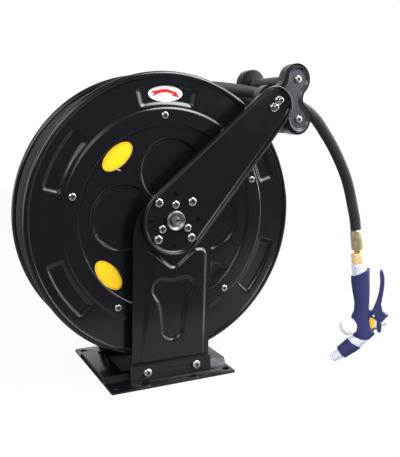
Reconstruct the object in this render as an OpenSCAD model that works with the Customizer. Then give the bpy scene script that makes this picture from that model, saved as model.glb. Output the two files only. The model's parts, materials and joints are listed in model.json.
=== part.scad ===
// Hose reel on a bolt-down base, with a sprung drum, a roller guide and a spray gun.
// X runs to the hose side, Y away from the viewer, Z up. The origin is the centre of the base underside.

/* [Base] */
// Width of the base plate
base_w = 210; // [180:1:240]
// Depth of the base plate
base_d = 195; // [190:1:230]
// Thickness of the base sheet
base_sheet = 3; // [2.5:0.1:4]
// Rise of the deck above the feet
deck_rise = 9; // [6:0.5:14]
// Distance of the foot holes across the base
foot_span_x = 186.4; // [170:0.2:188]
// Distance of the foot holes along the base
foot_span_y = 166.8; // [160:0.2:168]
// Radius of the foot holes
foot_hole_r = 5.5; // [4:0.1:6.5]
// Height of the upright flanges
upright_h = 33; // [28:0.5:36]

/* [Posts] */
// Clearance between the drum rim and the mounting face
rim_clear = 31; // [26:1:51]
// Clear distance between the two posts
post_gap = 144; // [143:0.5:148]
// Width of a post
post_w = 130; // [120:1:136]
// Thickness of the post sheet
post_sheet = 3; // [2.5:0.1:4]
// Height of the pressed panel over the post face
panel_rise = 3.5; // [2:0.1:5]

/* [Guide arms] */
// Distance from the drum rim to the centre of the arm end
arm_reach = 25; // [24:1:33]
// Angle of the arms above the horizontal
arm_angle = 46; // [44:0.5:48]
// Radius of the lower arm end
arm_low_r = 53; // [50:0.5:56]
// Radius of the upper arm end
arm_end_r = 31; // [29:0.5:33]
// Thickness of the arm sheet
arm_sheet = 3; // [2.5:0.1:4]
// Height of the turned-up arm edge
arm_edge_h = 7; // [4:0.5:9]

/* [Drum] */
// Outer radius of the drum flanges
flange_r = 219; // [213:1:219.5]
// Width of the drum over its rims
drum_w = 88; // [86:0.5:89]
// Place of the drum centre along the axis
drum_y = -15; // [-15.5:0.5:-14]
// Thickness of the flange sheet
flange_sheet = 1.5; // [1:0.1:2]
// Radius of the rolled rim
rim_bead_r = 5; // [4:0.5:6]
// Outer radius of the drum barrel
barrel_r = 145; // [140:1:148]
// Radius of the fixed shaft
shaft_r = 11; // [10:0.5:12]

/* [Hose] */
// Outer diameter of the hose
hose_d = 20; // [18:0.5:20.4]
// Pitch of the wound turns
hose_pitch = 20.7; // [20.5:0.1:21.5]
// Number of turns in the outer layer
hose_turns = 2.3; // [1.8:0.1:2.3]

/* [Hose guide] */
// Radius of the lobes of the guide plates
lobe_r = 25; // [24:0.5:26]
// Thickness of a guide plate
guide_t = 18; // [14:0.5:19]
// Radius of the top roller
top_roller_r = 7.5; // [6.5:0.1:9]
// Radius of the bottom roller
low_roller_r = 23; // [20:0.5:23.5]

/* [Spray gun] */
// Length of the grip
grip_h = 125; // [120:1:130]
// Half depth of the grip
grip_half_d = 13.5; // [12:0.5:15]
// Radius of the front sleeve at its rear edge
sleeve_r = 14.7; // [14:0.1:15.4]
// Length of the front sleeve
sleeve_len = 22; // [18:0.5:26]
// Height of the trigger lever above its pin
lever_h = 92; // [88:1:94]
// Width of the trigger lever
lever_w = 14; // [13:0.5:16]

/* [Hidden] */
$fn = 64;

// Overrun of every cut past the faces that it opens
over = 1;
// Radial clearance of a running fit
run_fit = 0.06;
// Radial clearance of a piece that sits still in its seat
seat_fit = 0.05;
// Radial clearance of a bolt in its hole
bolt_fit = 0.3;
// Gap between faces that pass each other
pass_gap = 0.5;

// Small geometry helpers

function unit(v) = v / norm(v);

// Arc of n steps that rounds corner b between its neighbours a and c
function corner_arc(a, b, c, r, n) =
    let (
        p = unit(a - b),
        q = unit(c - b),
        half = acos(p * q) / 2,
        centre = b + unit(p + q) * r / sin(half),
        start = b + p * r / tan(half) - centre,
        stop = b + q * r / tan(half) - centre,
        way = sign(start[0] * stop[1] - start[1] * stop[0]),
        turn = way * (180 - 2 * half)
    )
    [for (i = [0 : n]) let (t = turn * i / n)
        centre + [start[0] * cos(t) - start[1] * sin(t), start[0] * sin(t) + start[1] * cos(t)]];

// Outline with every corner rounded by its own radius, or left sharp where that is zero
function rounded(pts, radii, n = 6) =
    let (last = len(pts) - 1)
    [for (i = [0 : last])
        let (
            r = is_list(radii) ? radii[i] : radii,
            a = pts[i == 0 ? last : i - 1],
            c = pts[i == last ? 0 : i + 1]
        )
        each (r > 0 ? corner_arc(a, pts[i], c, r, n) : [pts[i]])];

// Outline of a bar that tapers from a round end at the origin to one at a distance along X
function taper_outline(len, r0, r1, n = 24) =
    let (lean = asin((r0 - r1) / len))
    concat(
        [for (i = [0 : n]) let (t = 90 - lean + (180 + 2 * lean) * i / n) r0 * [cos(t), sin(t)]],
        [for (i = [0 : n]) let (t = -90 + lean + (180 - 2 * lean) * i / n) [len, 0] + r1 * [cos(t), sin(t)]]
    );

// Triangles of a tube made of rings of points, with both ends closed
function tube_faces(rings, sides) = concat(
    [for (i = [0 : rings - 2], j = [0 : sides - 1]) let (k = (j + 1) % sides)
        [i * sides + j, i * sides + k, (i + 1) * sides + k]],
    [for (i = [0 : rings - 2], j = [0 : sides - 1]) let (k = (j + 1) % sides)
        [i * sides + j, (i + 1) * sides + k, (i + 1) * sides + j]],
    [for (j = [1 : sides - 2]) [0, j + 1, j]],
    [for (j = [1 : sides - 2]) let (b = (rings - 1) * sides) [b, b + j, b + j + 1]]
);

// Direction of a path at one of its points
function heading(path, i) =
    let (last = len(path) - 1)
    i == 0 ? unit(path[1] - path[0])
    : i == last ? unit(path[last] - path[last - 1])
    : unit(unit(path[i + 1] - path[i]) + unit(path[i] - path[i - 1]));

// Round tube along a path, with its rings set out from the Y direction
module tube(path, r, sides) {
    pts = [for (i = [0 : len(path) - 1])
        let (
            t = heading(path, i),
            across = unit([0, 1, 0] - t[1] * t),
            side = cross(t, across)
        )
        for (j = [0 : sides - 1]) let (a = 360 * j / sides)
            path[i] + r * (across * cos(a) + side * sin(a))];
    polyhedron(points = pts, faces = tube_faces(len(path), sides));
}

// Rod along Y between two places
module rod_y(r, y0, y1) {
    translate([0, y0, 0]) rotate([-90, 0, 0]) cylinder(r = r, h = y1 - y0);
}

// Hexagonal rod along Y, measured over its corners
module hex_y(r, y0, y1) {
    translate([0, y0, 0]) rotate([-90, 0, 0]) cylinder(r = r, h = y1 - y0, $fn = 6);
}

// Tube along Y between two places
module ring_y(r_out, r_in, y0, y1) {
    difference() {
        rod_y(r_out, y0, y1);
        rod_y(r_in, y0 - over, y1 + over);
    }
}

// Outline in X and Z given thickness between two places along Y
module plate_y(y0, y1) {
    translate([0, y1, 0]) rotate([90, 0, 0]) linear_extrude(y1 - y0) children();
}

// Profile in radius and Y turned round the Y axis
module turn_y() {
    rotate([-90, 0, 0]) rotate_extrude() children();
}

// Sets its children on the drum axis
module on_axis() {
    translate([0, 0, axis_h]) children();
}

// Repeats its children on the back of the reel, facing the other way
module both_ends() {
    children();
    mirror([0, 1, 0]) children();
}

// Height of the drum axis above the mounting face
axis_h = flange_r + rim_clear;
// Distance from the drum axis to the centre of the arm end
arm_len = flange_r + arm_reach;

// Places along the drum axis, all on the front half

post_in_y = -post_gap / 2;
post_out_y = post_in_y - post_sheet;
arm_out_y = post_out_y - arm_sheet;

// Fasteners of the frame

bolt_r = 4;
bolt_head_r = 7;
bolt_head_h = 4.5;
bolt_nut_r = 7.5;
bolt_nut_h = 6;
small_bolt_r = 3;
small_head_r = 6.2;
small_head_h = 4;
socket_r = 2.6;
socket_share = 0.6;

// Pan-head bolt along Y, its head in front of y_seat and its shank up to y_end
module pan_bolt(r, head_r, head_h, y_seat, y_end) {
    round_h = head_h / 2;
    difference() {
        union() {
            rod_y(r, y_seat, y_end);
            turn_y() polygon([
                [0, y_seat],
                [head_r, y_seat],
                [head_r, y_seat - head_h + round_h],
                [head_r - round_h, y_seat - head_h],
                [0, y_seat - head_h]
            ]);
        }
        hex_y(socket_r, y_seat - head_h - over, y_seat - head_h * (1 - socket_share));
    }
}

// Base plate

deck_gap = 14.5;
joggle_run = 6;
deck_top = deck_rise + base_sheet;
window_w = 142;
window_d = 94;
window_corner_r = 5;
upright_w = 137;
upright_corner_r = 12;
post_bolt_span = 83;
post_bolt_z = 17;
foot_corner_r = 5;

module base_upright() {
    half = upright_w / 2;
    plate_y(post_out_y - base_sheet, post_out_y)
        polygon(rounded([[-half, 0], [half, 0], [half, upright_h], [-half, upright_h]],
            [0, 0, upright_corner_r, upright_corner_r]));
}

module base_sheet_body() {
    y0 = base_d / 2;
    y2 = -post_in_y - deck_gap;
    y1 = y2 + joggle_run;
    top = [[-y0, base_sheet], [-y1, base_sheet], [-y2, deck_top], [y2, deck_top], [y1, base_sheet],
        [y0, base_sheet]];
    under = [[y0, 0], [y1, 0], [y2, deck_rise], [-y2, deck_rise], [-y1, 0], [-y0, 0]];
    translate([-base_w / 2, 0, 0]) rotate([90, 0, 90]) linear_extrude(base_w) polygon(concat(top, under));
}

module base_outline() {
    hx = base_w / 2;
    hy = base_d / 2;
    polygon(rounded([[-hx, -hy], [hx, -hy], [hx, hy], [-hx, hy]], foot_corner_r));
}

module base_plate() {
    wx = window_w / 2;
    wy = window_d / 2;
    color("#1c1d20") difference() {
        union() {
            intersection() {
                base_sheet_body();
                linear_extrude(deck_top) base_outline();
            }
            both_ends() base_upright();
        }
        translate([0, 0, -over]) linear_extrude(deck_top + 2 * over)
            polygon(rounded([[-wx, -wy], [wx, -wy], [wx, wy], [-wx, wy]], window_corner_r));
        for (x = [-1, 1], y = [-1, 1])
            translate([x * foot_span_x / 2, y * foot_span_y / 2, -over])
                cylinder(r = foot_hole_r, h = base_sheet + 2 * over);
        both_ends() for (x = [-1, 1])
            translate([x * post_bolt_span / 2, 0, post_bolt_z])
                rod_y(bolt_r + bolt_fit, post_out_y - base_sheet - over, post_out_y + over);
    }
}

// Posts

post_top_drop = 25;
post_foot_gap = 0.2;
panel_margin = 9;
panel_foot_gap = 4;
panel_hump_drop = 45;
panel_dip_drop = 73.75;
panel_hump_x_share = 0.62;
panel_corner_r = 9;
bone_top_w = 38;
bone_top_r = 17;
bone_top_z_share = 0.583;
bone_low_r = 19;
bone_low_z_share = 0.328;
bone_neck_r = 21;
bone_neck_z_share = 0.47;
shaft_hole_r = 13;
boss_bolt_ring_r = 24;
arm_bolt_half = 27.5;
index_ring_r = arm_bolt_half * sqrt(2);
index_hole_r = 3.4;

module post_outline() {
    half = post_w / 2;
    steps = 32;
    crown_z = axis_h - post_top_drop;
    foot_z = base_sheet + post_foot_gap;
    polygon(concat(
        [[-half, foot_z], [half, foot_z]],
        [for (i = [0 : steps]) let (t = 180 * i / steps) [0, crown_z] + half * [cos(t), sin(t)]]
    ));
}

// Raised panel with two humps and a dip that leaves room for the arm
module panel_outline() {
    half = post_w / 2 - panel_margin;
    hump_x = half * panel_hump_x_share;
    low = upright_h + panel_foot_gap;
    hump_z = axis_h - panel_hump_drop;
    dip_z = axis_h - panel_dip_drop;
    polygon(rounded([[-half, low], [half, low], [half, hump_z], [hump_x, hump_z], [0, dip_z],
        [-hump_x, hump_z], [-half, hump_z]], [0, 0, panel_corner_r, panel_corner_r, panel_corner_r,
        panel_corner_r, panel_corner_r]));
}

// Bone-shaped recess: two upper lobes, a neck and one lower lobe
module bone_outline() {
    top_z = axis_h * bone_top_z_share;
    neck_z = axis_h * bone_neck_z_share;
    low_z = axis_h * bone_low_z_share;
    half = bone_top_w / 2;
    for (x = [-half, half]) translate([x, top_z]) circle(r = bone_top_r);
    translate([0, low_z]) circle(r = bone_low_r);
    polygon([[-half - bone_top_r, top_z], [-bone_neck_r, neck_z], [-bone_low_r, low_z], [bone_low_r, low_z],
        [bone_neck_r, neck_z], [half + bone_top_r, top_z], [half, top_z + bone_top_r],
        [-half, top_z + bone_top_r]]);
}

module arm_bolt_places() {
    for (x = [-1, 1], z = [-1, 1])
        translate([x * arm_bolt_half, 0, axis_h + z * arm_bolt_half]) children();
}

module boss_bolt_places() {
    for (a = [90 : 120 : 330])
        translate([boss_bolt_ring_r * cos(a), 0, axis_h + boss_bolt_ring_r * sin(a)]) children();
}

// Holes for the shaft and the two bolt patterns through the post and the arm
module hub_holes(y0, y1) {
    on_axis() rod_y(shaft_hole_r, y0, y1);
    arm_bolt_places() rod_y(bolt_r + bolt_fit, y0, y1);
    boss_bolt_places() rod_y(small_bolt_r + bolt_fit, y0, y1);
}

module post() {
    difference() {
        union() {
            plate_y(post_out_y, post_in_y) post_outline();
            plate_y(post_out_y - panel_rise, post_out_y) panel_outline();
        }
        plate_y(post_out_y - panel_rise - over, post_out_y) bone_outline();
        hub_holes(post_out_y - over, post_in_y + over);
        for (x = [-1, 1])
            translate([x * post_bolt_span / 2, 0, post_bolt_z])
                rod_y(bolt_r + bolt_fit, post_out_y - over, post_in_y + over);
    }
}

module front_post() {
    color("#1c1d20") post();
}

module rear_post() {
    color("#1c1d20") mirror([0, 1, 0]) post();
}

module base_bolts() {
    color("#c9c7bd") both_ends() for (x = [-1, 1])
        translate([x * post_bolt_span / 2, 0, post_bolt_z])
            pan_bolt(bolt_r, bolt_head_r, bolt_head_h, post_out_y - base_sheet, post_in_y + bolt_nut_h);
}

// Hexagon nut along Y with its bore
module nut_y(y0, y1) {
    difference() {
        hex_y(bolt_nut_r, y0, y1);
        rod_y(bolt_r + seat_fit, y0 - over, y1 + over);
    }
}

module base_nuts() {
    color("#b4b2aa") both_ends() for (x = [-1, 1])
        translate([x * post_bolt_span / 2, 0, post_bolt_z]) nut_y(post_in_y, post_in_y + bolt_nut_h);
}

// Guide arms

arm_edge_t = 3;
arm_end = arm_len * [cos(arm_angle), sin(arm_angle)] + [0, axis_h];
guide_bolt_pitch = 14;
guide_bolt_angle = 53;
guide_bolt_shift = 3;
guide_bolt_r = 3;

// Places of the two bolts at the arm end
function guide_bolt_at(i) =
    arm_end + guide_bolt_shift * [1, 1] + (i - 1 / 2) * guide_bolt_pitch
    * [cos(guide_bolt_angle), sin(guide_bolt_angle)];

module guide_bolt_places() {
    for (i = [0, 1]) translate([guide_bolt_at(i)[0], 0, guide_bolt_at(i)[1]]) children();
}

module arm_outline(grow) {
    translate([0, axis_h]) rotate(arm_angle)
        polygon(taper_outline(arm_len, arm_low_r + grow, arm_end_r + grow));
}

module arm() {
    difference() {
        plate_y(arm_out_y - arm_edge_h, post_out_y) arm_outline(0);
        plate_y(arm_out_y - arm_edge_h - over, arm_out_y) arm_outline(-arm_edge_t);
        hub_holes(arm_out_y - over, post_out_y + over);
        for (a = [0 : 90 : 270])
            translate([index_ring_r * cos(a), 0, axis_h + index_ring_r * sin(a)])
                rod_y(index_hole_r, arm_out_y - over, post_out_y + over);
        guide_bolt_places() rod_y(guide_bolt_r + bolt_fit, arm_out_y - over, post_out_y + over);
    }
}

module front_arm() {
    color("#1c1d20") arm();
}

module rear_arm() {
    color("#1c1d20") mirror([0, 1, 0]) arm();
}

module arm_bolts() {
    color("#c9c7bd") both_ends() arm_bolt_places()
        pan_bolt(bolt_r, bolt_head_r, bolt_head_h, arm_out_y, post_in_y + bolt_nut_h);
}

module arm_nuts() {
    color("#b4b2aa") both_ends() arm_bolt_places() nut_y(post_in_y, post_in_y + bolt_nut_h);
}

// Fixed shaft, its bosses and the inlet

boss_r = 29;
boss_t = 5;
boss_collar_r = 17;
boss_collar_h = 3;
shaft_end_r = 7;
shaft_nose = 4;
shaft_end_y = arm_out_y - shaft_nose;
shaft_tail = 13;
shaft_slot_w = 2.4;
shaft_slot_d = 5;
bore_r = 5;
port_r = 3.5;
port_y = 4;
bore_dead_end = 6;
bore_stop_y = port_y - bore_dead_end;
seal_wire_r = 1;
seal_groove_d = 1.6;
seal_groove_w = 2.4;
seal_reach = 11;

// Boss on the inner face of the front post, turned about the drum axis
module boss() {
    on_axis() difference() {
        union() {
            rod_y(boss_r, post_in_y, post_in_y + boss_t);
            rod_y(boss_collar_r, post_in_y, post_in_y + boss_t + boss_collar_h);
        }
        rod_y(shaft_r + seat_fit, post_in_y - over, post_in_y + boss_t + boss_collar_h + over);
        translate([0, 0, -axis_h]) boss_bolt_places()
            rod_y(small_bolt_r + seat_fit, post_in_y - over, post_in_y + boss_t + over);
    }
}

module front_boss() {
    color("#3a3b3e") boss();
}

module rear_boss() {
    color("#3a3b3e") mirror([0, 1, 0]) boss();
}

module boss_bolts() {
    color("#c9c7bd") both_ends() boss_bolt_places()
        pan_bolt(small_bolt_r, small_head_r, small_head_h, arm_out_y, post_in_y + boss_t);
}

cup_r = 15;
cup_h = 6;
cup_floor = 1.5;
cup_lip = 1.5;
cup_throat_r = 9;

module hub_cup() {
    lip_y = arm_out_y - cup_h;
    floor_y = arm_out_y - cup_floor;
    spigot_y = post_in_y - seat_fit;
    hole = shaft_end_r + seat_fit;
    spigot = shaft_hole_r - bolt_fit;
    color("#a9adb0") on_axis() turn_y() polygon([
        [cup_r, arm_out_y], [cup_r, lip_y + cup_lip], [cup_r - cup_lip, lip_y],
        [cup_r - 2 * cup_lip, lip_y + cup_lip], [cup_throat_r, floor_y], [hole, floor_y],
        [hole, spigot_y], [spigot, spigot_y], [spigot, arm_out_y]
    ]);
}

module main_shaft() {
    tail_y = -arm_out_y + shaft_tail;
    color("#8f9396") on_axis() difference() {
        union() {
            rod_y(shaft_end_r, shaft_end_y, post_in_y + over);
            rod_y(shaft_r, post_in_y, tail_y);
        }
        translate([0, shaft_end_y - over, -shaft_slot_w / 2])
            cube([shaft_end_r + over, shaft_slot_d + over, shaft_slot_w]);
        rod_y(bore_r, bore_stop_y, tail_y + over);
        for (a = [0 : 90 : 270])
            translate([0, port_y, 0]) rotate([0, a, 0]) cylinder(r = port_r, h = shaft_r + over);
        for (s = [-1, 1])
            ring_y(shaft_r + over, shaft_r - seal_groove_d, port_y + s * seal_reach - seal_groove_w / 2,
                port_y + s * seal_reach + seal_groove_w / 2);
    }
}

module shaft_seals() {
    color("#2b2b2b") on_axis() for (s = [-1, 1])
        turn_y() translate([shaft_r - seal_groove_d + seal_wire_r + seat_fit, port_y + s * seal_reach])
            circle(r = seal_wire_r);
}

elbow_r = 15;
elbow_wall = 4;
elbow_drop = 30;
elbow_depth = 15;
thread_r = 9.3;
thread_len = 15;
elbow_hex_r = 19;
elbow_hex_h = 10;

// Inlet elbow on the rear end of the shaft, with its threaded port facing down
module inlet_elbow() {
    y0 = -arm_out_y + pass_gap;
    mid_y = y0 + elbow_depth + elbow_r;
    color("#b08d4a") on_axis() difference() {
        union() {
            rod_y(elbow_r, y0, mid_y);
            translate([0, mid_y, 0]) sphere(r = elbow_r);
            translate([0, mid_y, -elbow_drop]) cylinder(r = elbow_r, h = elbow_drop);
            translate([0, mid_y, -elbow_drop]) cylinder(r = elbow_hex_r, h = elbow_hex_h, $fn = 6);
        }
        rod_y(shaft_r + seat_fit, y0 - over, y0 + elbow_depth + over);
        rod_y(bore_r, y0, mid_y);
        translate([0, mid_y, -elbow_drop - over]) cylinder(r = thread_r, h = thread_len + over);
        translate([0, mid_y, -elbow_drop]) cylinder(r = bore_r, h = elbow_drop);
    }
}

// Roller guide

guide_top_offset = [44.5, 43.5];
guide_low_offset = [49.5, -19.5];
guide_seat_offset = [-4.5, 7.5];
guide_top = arm_end + guide_top_offset;
guide_low = arm_end + guide_low_offset;
guide_seat = arm_end + guide_seat_offset;
guide_waist = 10.5;
guide_rim_h = 4;
guide_rim_t = 6;
guide_arm_gap = 2;
axle_r = 4;
axle_screw_r = 2.5;
axle_screw_in = 10;

// Centre and radius of the hollow that joins two lobes smoothly
function hollow_r(a, b) =
    let (half = norm(b - a) / 2)
    (lobe_r * lobe_r - half * half - guide_waist * guide_waist) / (2 * (guide_waist - lobe_r));

function hollow_at(a, b) =
    let (
        half = norm(b - a) / 2,
        along = unit(b - a),
        away = sqrt(pow(lobe_r + hollow_r(a, b), 2) - half * half)
    )
    (a + b) / 2 + away * [-along[1], along[0]];

// Three round lobes with hollows between them
module guide_outline() {
    lobes = [guide_top, guide_seat, guide_low];
    pairs = [[guide_seat, guide_top], [guide_top, guide_low], [guide_low, guide_seat]];
    for (p = lobes) translate(p) circle(r = lobe_r);
    difference() {
        polygon([for (p = pairs) each [p[0], hollow_at(p[0], p[1])]]);
        for (p = pairs) translate(hollow_at(p[0], p[1])) circle(r = hollow_r(p[0], p[1]));
    }
}

module guide_axle_places() {
    for (p = [guide_top, guide_low]) translate([p[0], 0, p[1]]) children();
}

// Guide plate behind the arm end, with a raised rim round its two free lobes
module guide_plate() {
    y0 = post_out_y;
    difference() {
        union() {
            plate_y(y0, y0 + guide_t) guide_outline();
            difference() {
                plate_y(y0 - guide_rim_h, y0) guide_outline();
                guide_axle_places() rod_y(lobe_r - guide_rim_t, y0 - guide_rim_h - over, y0);
                plate_y(y0 - guide_rim_h - over, y0) polygon([guide_top, guide_low, guide_seat]);
                plate_y(y0 - guide_rim_h - over, y0 + over) arm_outline(guide_arm_gap);
            }
        }
        guide_axle_places() rod_y(axle_r + seat_fit, y0 - over, y0 + guide_t + over);
        guide_bolt_places() rod_y(guide_bolt_r + seat_fit, y0 - over, y0 + guide_t + over);
    }
}

module near_guide_plate() {
    color("#26272b") guide_plate();
}

module far_guide_plate() {
    color("#26272b") mirror([0, 1, 0]) guide_plate();
}

washer_r = 7;
washer_h = 2;
guide_head_r = 5;
guide_head_h = 7;

module guide_bolts() {
    color("#c9c7bd") both_ends() guide_bolt_places() {
        ring_y(washer_r, guide_bolt_r + seat_fit, arm_out_y - washer_h, arm_out_y);
        pan_bolt(guide_bolt_r, guide_head_r, guide_head_h, arm_out_y - washer_h, post_out_y + guide_t);
    }
}

module roller_axles() {
    y1 = -post_out_y;
    color("#9a9c9e") guide_axle_places() difference() {
        rod_y(axle_r, -y1, y1);
        for (s = [-1, 1]) rod_y(axle_screw_r, min(s * y1, s * (y1 - axle_screw_in)) - (s < 0 ? over : 0),
            max(s * y1, s * (y1 - axle_screw_in)) + (s > 0 ? over : 0));
    }
}

module axle_screws() {
    color("#c9c7bd") both_ends() guide_axle_places()
        pan_bolt(axle_screw_r - seat_fit, small_head_r, small_head_h, post_out_y,
            post_out_y + axle_screw_in - pass_gap);
}

// Roller between the guide plates, turned about its own axle
module roller(at, r) {
    reach = -post_out_y - guide_t - pass_gap;
    chamfer = r / 6;
    translate([at[0], 0, at[1]]) turn_y() polygon([
        [axle_r + run_fit, -reach], [r - chamfer, -reach], [r, -reach + chamfer], [r, reach - chamfer],
        [r - chamfer, reach], [axle_r + run_fit, reach]
    ]);
}

module top_roller() {
    color("#55585b") roller(guide_top, top_roller_r);
}

module bottom_roller() {
    color("#2c2d30") roller(guide_low, low_roller_r);
}

// Drum flanges, drawn with the outward side towards +Y from the drum centre

half_drum = drum_w / 2;
ring_drop = 3;
seat_rise = 2;
disc_drop = 1;
seat_w = 22;
seat_inset = 3;
step_run = 3;
sector_in_share = 0.095;
sector_out_share = 0.738;
ring_face = half_drum - ring_drop;
seat_face = ring_face + seat_rise;
disc_face = ring_face - disc_drop;
ring_in_r = barrel_r + seat_w;
seat_out_r = ring_in_r - step_run;
seat_in_r = barrel_r - seat_inset;
disc_r = seat_in_r - step_run;
sector_span = flange_r - 2 * rim_bead_r - ring_in_r;
sector_in_r = ring_in_r + sector_in_share * sector_span;
sector_out_r = ring_in_r + sector_out_share * sector_span;
sector_half = 14.2;
sector_first = 32;
sector_depth = 3;
hub_r = 17;
collar_r = 20;
lobe_hub_gap = 2;
lobe_rim_gap = 17;
lobe_in_r = collar_r + lobe_hub_gap;
lobe_out_r = disc_r - lobe_rim_gap;
lobe_ring_r = (lobe_out_r + lobe_in_r) / 2;
lobe_press_r = (lobe_out_r - lobe_in_r) / 2;
lobe_first = 87;
lobe_depth = 3;
pad_first = 42;
pad_out_r = disc_r - step_run;
pad_len = 42;
pad_in_r = pad_out_r - pad_len;
pad_half = 17;
pad_corner_r = 7;
pad_depth = 2;
screw_out = 10;
screw_ring_r = barrel_r + screw_out;
screw_first = 22;
screw_count = 5;
screw_r = 3;
screw_head_r = 5.6;
screw_head_h = 3.6;

// Sector of a ring, drawn about its middle angle
module sector_shape(grow) {
    r_far = 2 * sector_out_r;
    a = sector_half + asin(grow / sector_in_r);
    intersection() {
        difference() {
            circle(r = sector_out_r + grow);
            circle(r = sector_in_r - grow);
        }
        polygon([[0, 0], r_far * [cos(a), -sin(a)], r_far * [cos(a), sin(a)]]);
    }
}

// Rounded three-cornered pad that points to the axis
module pad_shape(grow) {
    tip = [pad_in_r - 2 * grow, 0];
    wide = pad_out_r * tan(pad_half) + grow;
    intersection() {
        circle(r = pad_out_r + grow);
        polygon(rounded([tip, [pad_out_r + grow, -wide], [pad_out_r + grow, wide]], pad_corner_r));
    }
}

// Turns a flat shape into each place of a ring pattern, seen from outside the flange
module ring_pattern(first, step) {
    for (a = [first : step : first + 359]) rotate(a) children();
}

// Gives a flat pattern thickness between two depths of the flange
module press_y(s0, s1) {
    translate([0, s0, 0]) rotate([-90, 0, 0]) linear_extrude(s1 - s0) mirror([0, 1]) children();
}

// All pressed shapes of the flange: the sheet behind them when grown, the hollows when not
module pressings(grow, s_add) {
    press_y(ring_face - sector_depth - grow, ring_face - flange_sheet / 2 + s_add)
        ring_pattern(sector_first, 60) sector_shape(grow);
    press_y(disc_face - lobe_depth - grow, disc_face - flange_sheet / 2 + s_add)
        ring_pattern(lobe_first, 90) translate([lobe_ring_r, 0]) circle(r = lobe_press_r + grow);
    press_y(disc_face - pad_depth - grow, disc_face - flange_sheet / 2 + s_add)
        ring_pattern(pad_first, 90) pad_shape(grow);
}

module flange() {
    t = flange_sheet;
    bore = hub_r + seat_fit;
    rim = [flange_r - rim_bead_r, half_drum - rim_bead_r];
    outer = [[rim[0], ring_face], [ring_in_r, ring_face], [seat_out_r, seat_face], [seat_in_r, seat_face],
        [disc_r, disc_face], [bore, disc_face]];
    inner = [[bore, disc_face - t], [disc_r, disc_face - t], [seat_in_r, seat_face - t],
        [seat_out_r, seat_face - t], [ring_in_r, ring_face - t], [rim[0], ring_face - t]];
    difference() {
        union() {
            turn_y() polygon(concat(outer, inner));
            turn_y() translate(rim) circle(r = rim_bead_r);
            pressings(t, 0);
        }
        pressings(0, over + t);
        for (i = [0 : screw_count - 1]) let (a = screw_first + 360 * i / screw_count)
            translate(screw_ring_r * [cos(a), 0, sin(a)])
                rod_y(screw_r + bolt_fit, seat_face - t - over, seat_face + over);
    }
}

// Puts a flange or its screws at the front or the rear of the drum
module drum_side(side) {
    translate([0, drum_y, axis_h]) mirror([0, side < 0 ? 1 : 0, 0]) children();
}

module front_flange() {
    color("#1c1d20") drum_side(-1) flange();
}

module rear_flange() {
    color("#1c1d20") drum_side(1) flange();
}

barrel_wall = 2;
barrel_lip_gap = 1;
barrel_lip_r = seat_out_r - barrel_lip_gap;
lip_t = 1.5;
pipe_r = 8;
pipe_wall = 2.5;
pipe_angle = 200;

// Sets its children along a radius of the drum that points where the outlet pipe lies
module along_pipe() {
    translate([0, port_y, axis_h]) rotate([0, 90 - pipe_angle, 0]) children();
}

module drum_barrel() {
    lip_y = seat_face - flange_sheet;
    color("#2a2b2e") difference() {
        translate([0, drum_y, axis_h]) difference() {
            union() {
                ring_y(barrel_r, barrel_r - barrel_wall, -lip_y, lip_y);
                for (s = [-1, 1])
                    ring_y(barrel_lip_r, barrel_r - barrel_wall, min(s * lip_y, s * (lip_y - lip_t)),
                        max(s * lip_y, s * (lip_y - lip_t)));
            }
            for (i = [0 : screw_count - 1]) let (a = screw_first + 360 * i / screw_count)
                translate(screw_ring_r * [cos(a), 0, sin(a)])
                    rod_y(screw_r + seat_fit, -lip_y - over, lip_y + over);
        }
        along_pipe() cylinder(r = pipe_r + seat_fit, h = barrel_r + over);
    }
}

module flange_screws() {
    end_y = seat_face - flange_sheet - lip_t;
    color("#c9c7bd") for (s = [-1, 1]) drum_side(s)
        for (i = [0 : screw_count - 1]) let (a = screw_first + 360 * i / screw_count)
            translate(screw_ring_r * [cos(a), 0, sin(a)])
                mirror([0, 1, 0]) pan_bolt(screw_r, screw_head_r, screw_head_h, -seat_face, -end_y);
}

// Hubs and bushes of the drum

bush_wall = 2;
bush_len = 12;
collar_t = 4;
hub_end_gap = 2;
hub_front_y = post_in_y + boss_t + boss_collar_h + hub_end_gap;
hub_rear_y = -hub_front_y;
front_hub_in_y = drum_y - disc_face + flange_sheet + collar_t;
chamber_r = 14;
chamber_half = 5;
hub_clear_r = shaft_r + seal_wire_r * 2 - seal_groove_d + seat_fit + run_fit;
port_boss_r = 11;
port_boss_top = 24;
bush_bore = shaft_r + run_fit;
bush_out = shaft_r + bush_wall;

module front_hub() {
    seat_y = drum_y - disc_face + flange_sheet;
    color("#6f7274") on_axis() difference() {
        union() {
            rod_y(hub_r, hub_front_y, seat_y);
            rod_y(collar_r, seat_y, front_hub_in_y);
        }
        rod_y(bush_out + seat_fit, hub_front_y - over, front_hub_in_y + over);
    }
}

module front_bush() {
    color("#b58a45") on_axis() ring_y(bush_out, bush_bore, hub_front_y, front_hub_in_y);
}

module rear_hub() {
    y0 = port_y - seal_reach - seal_groove_w;
    seat_y = drum_y + disc_face - flange_sheet;
    color("#6f7274") difference() {
        union() {
            on_axis() rod_y(hub_r, y0, hub_rear_y);
            on_axis() rod_y(collar_r, seat_y - collar_t, seat_y);
            along_pipe() cylinder(r = port_boss_r, h = port_boss_top);
        }
        on_axis() {
            rod_y(hub_clear_r, y0 - over, hub_rear_y);
            rod_y(chamber_r, port_y - chamber_half, port_y + chamber_half);
            rod_y(bush_out + seat_fit, hub_rear_y - bush_len, hub_rear_y + over);
        }
        along_pipe() cylinder(r = pipe_r - pipe_wall, h = port_boss_top + over);
    }
}

module rear_bush() {
    color("#b58a45") on_axis() ring_y(bush_out, bush_bore, hub_rear_y - bush_len + pass_gap, hub_rear_y);
}

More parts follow.
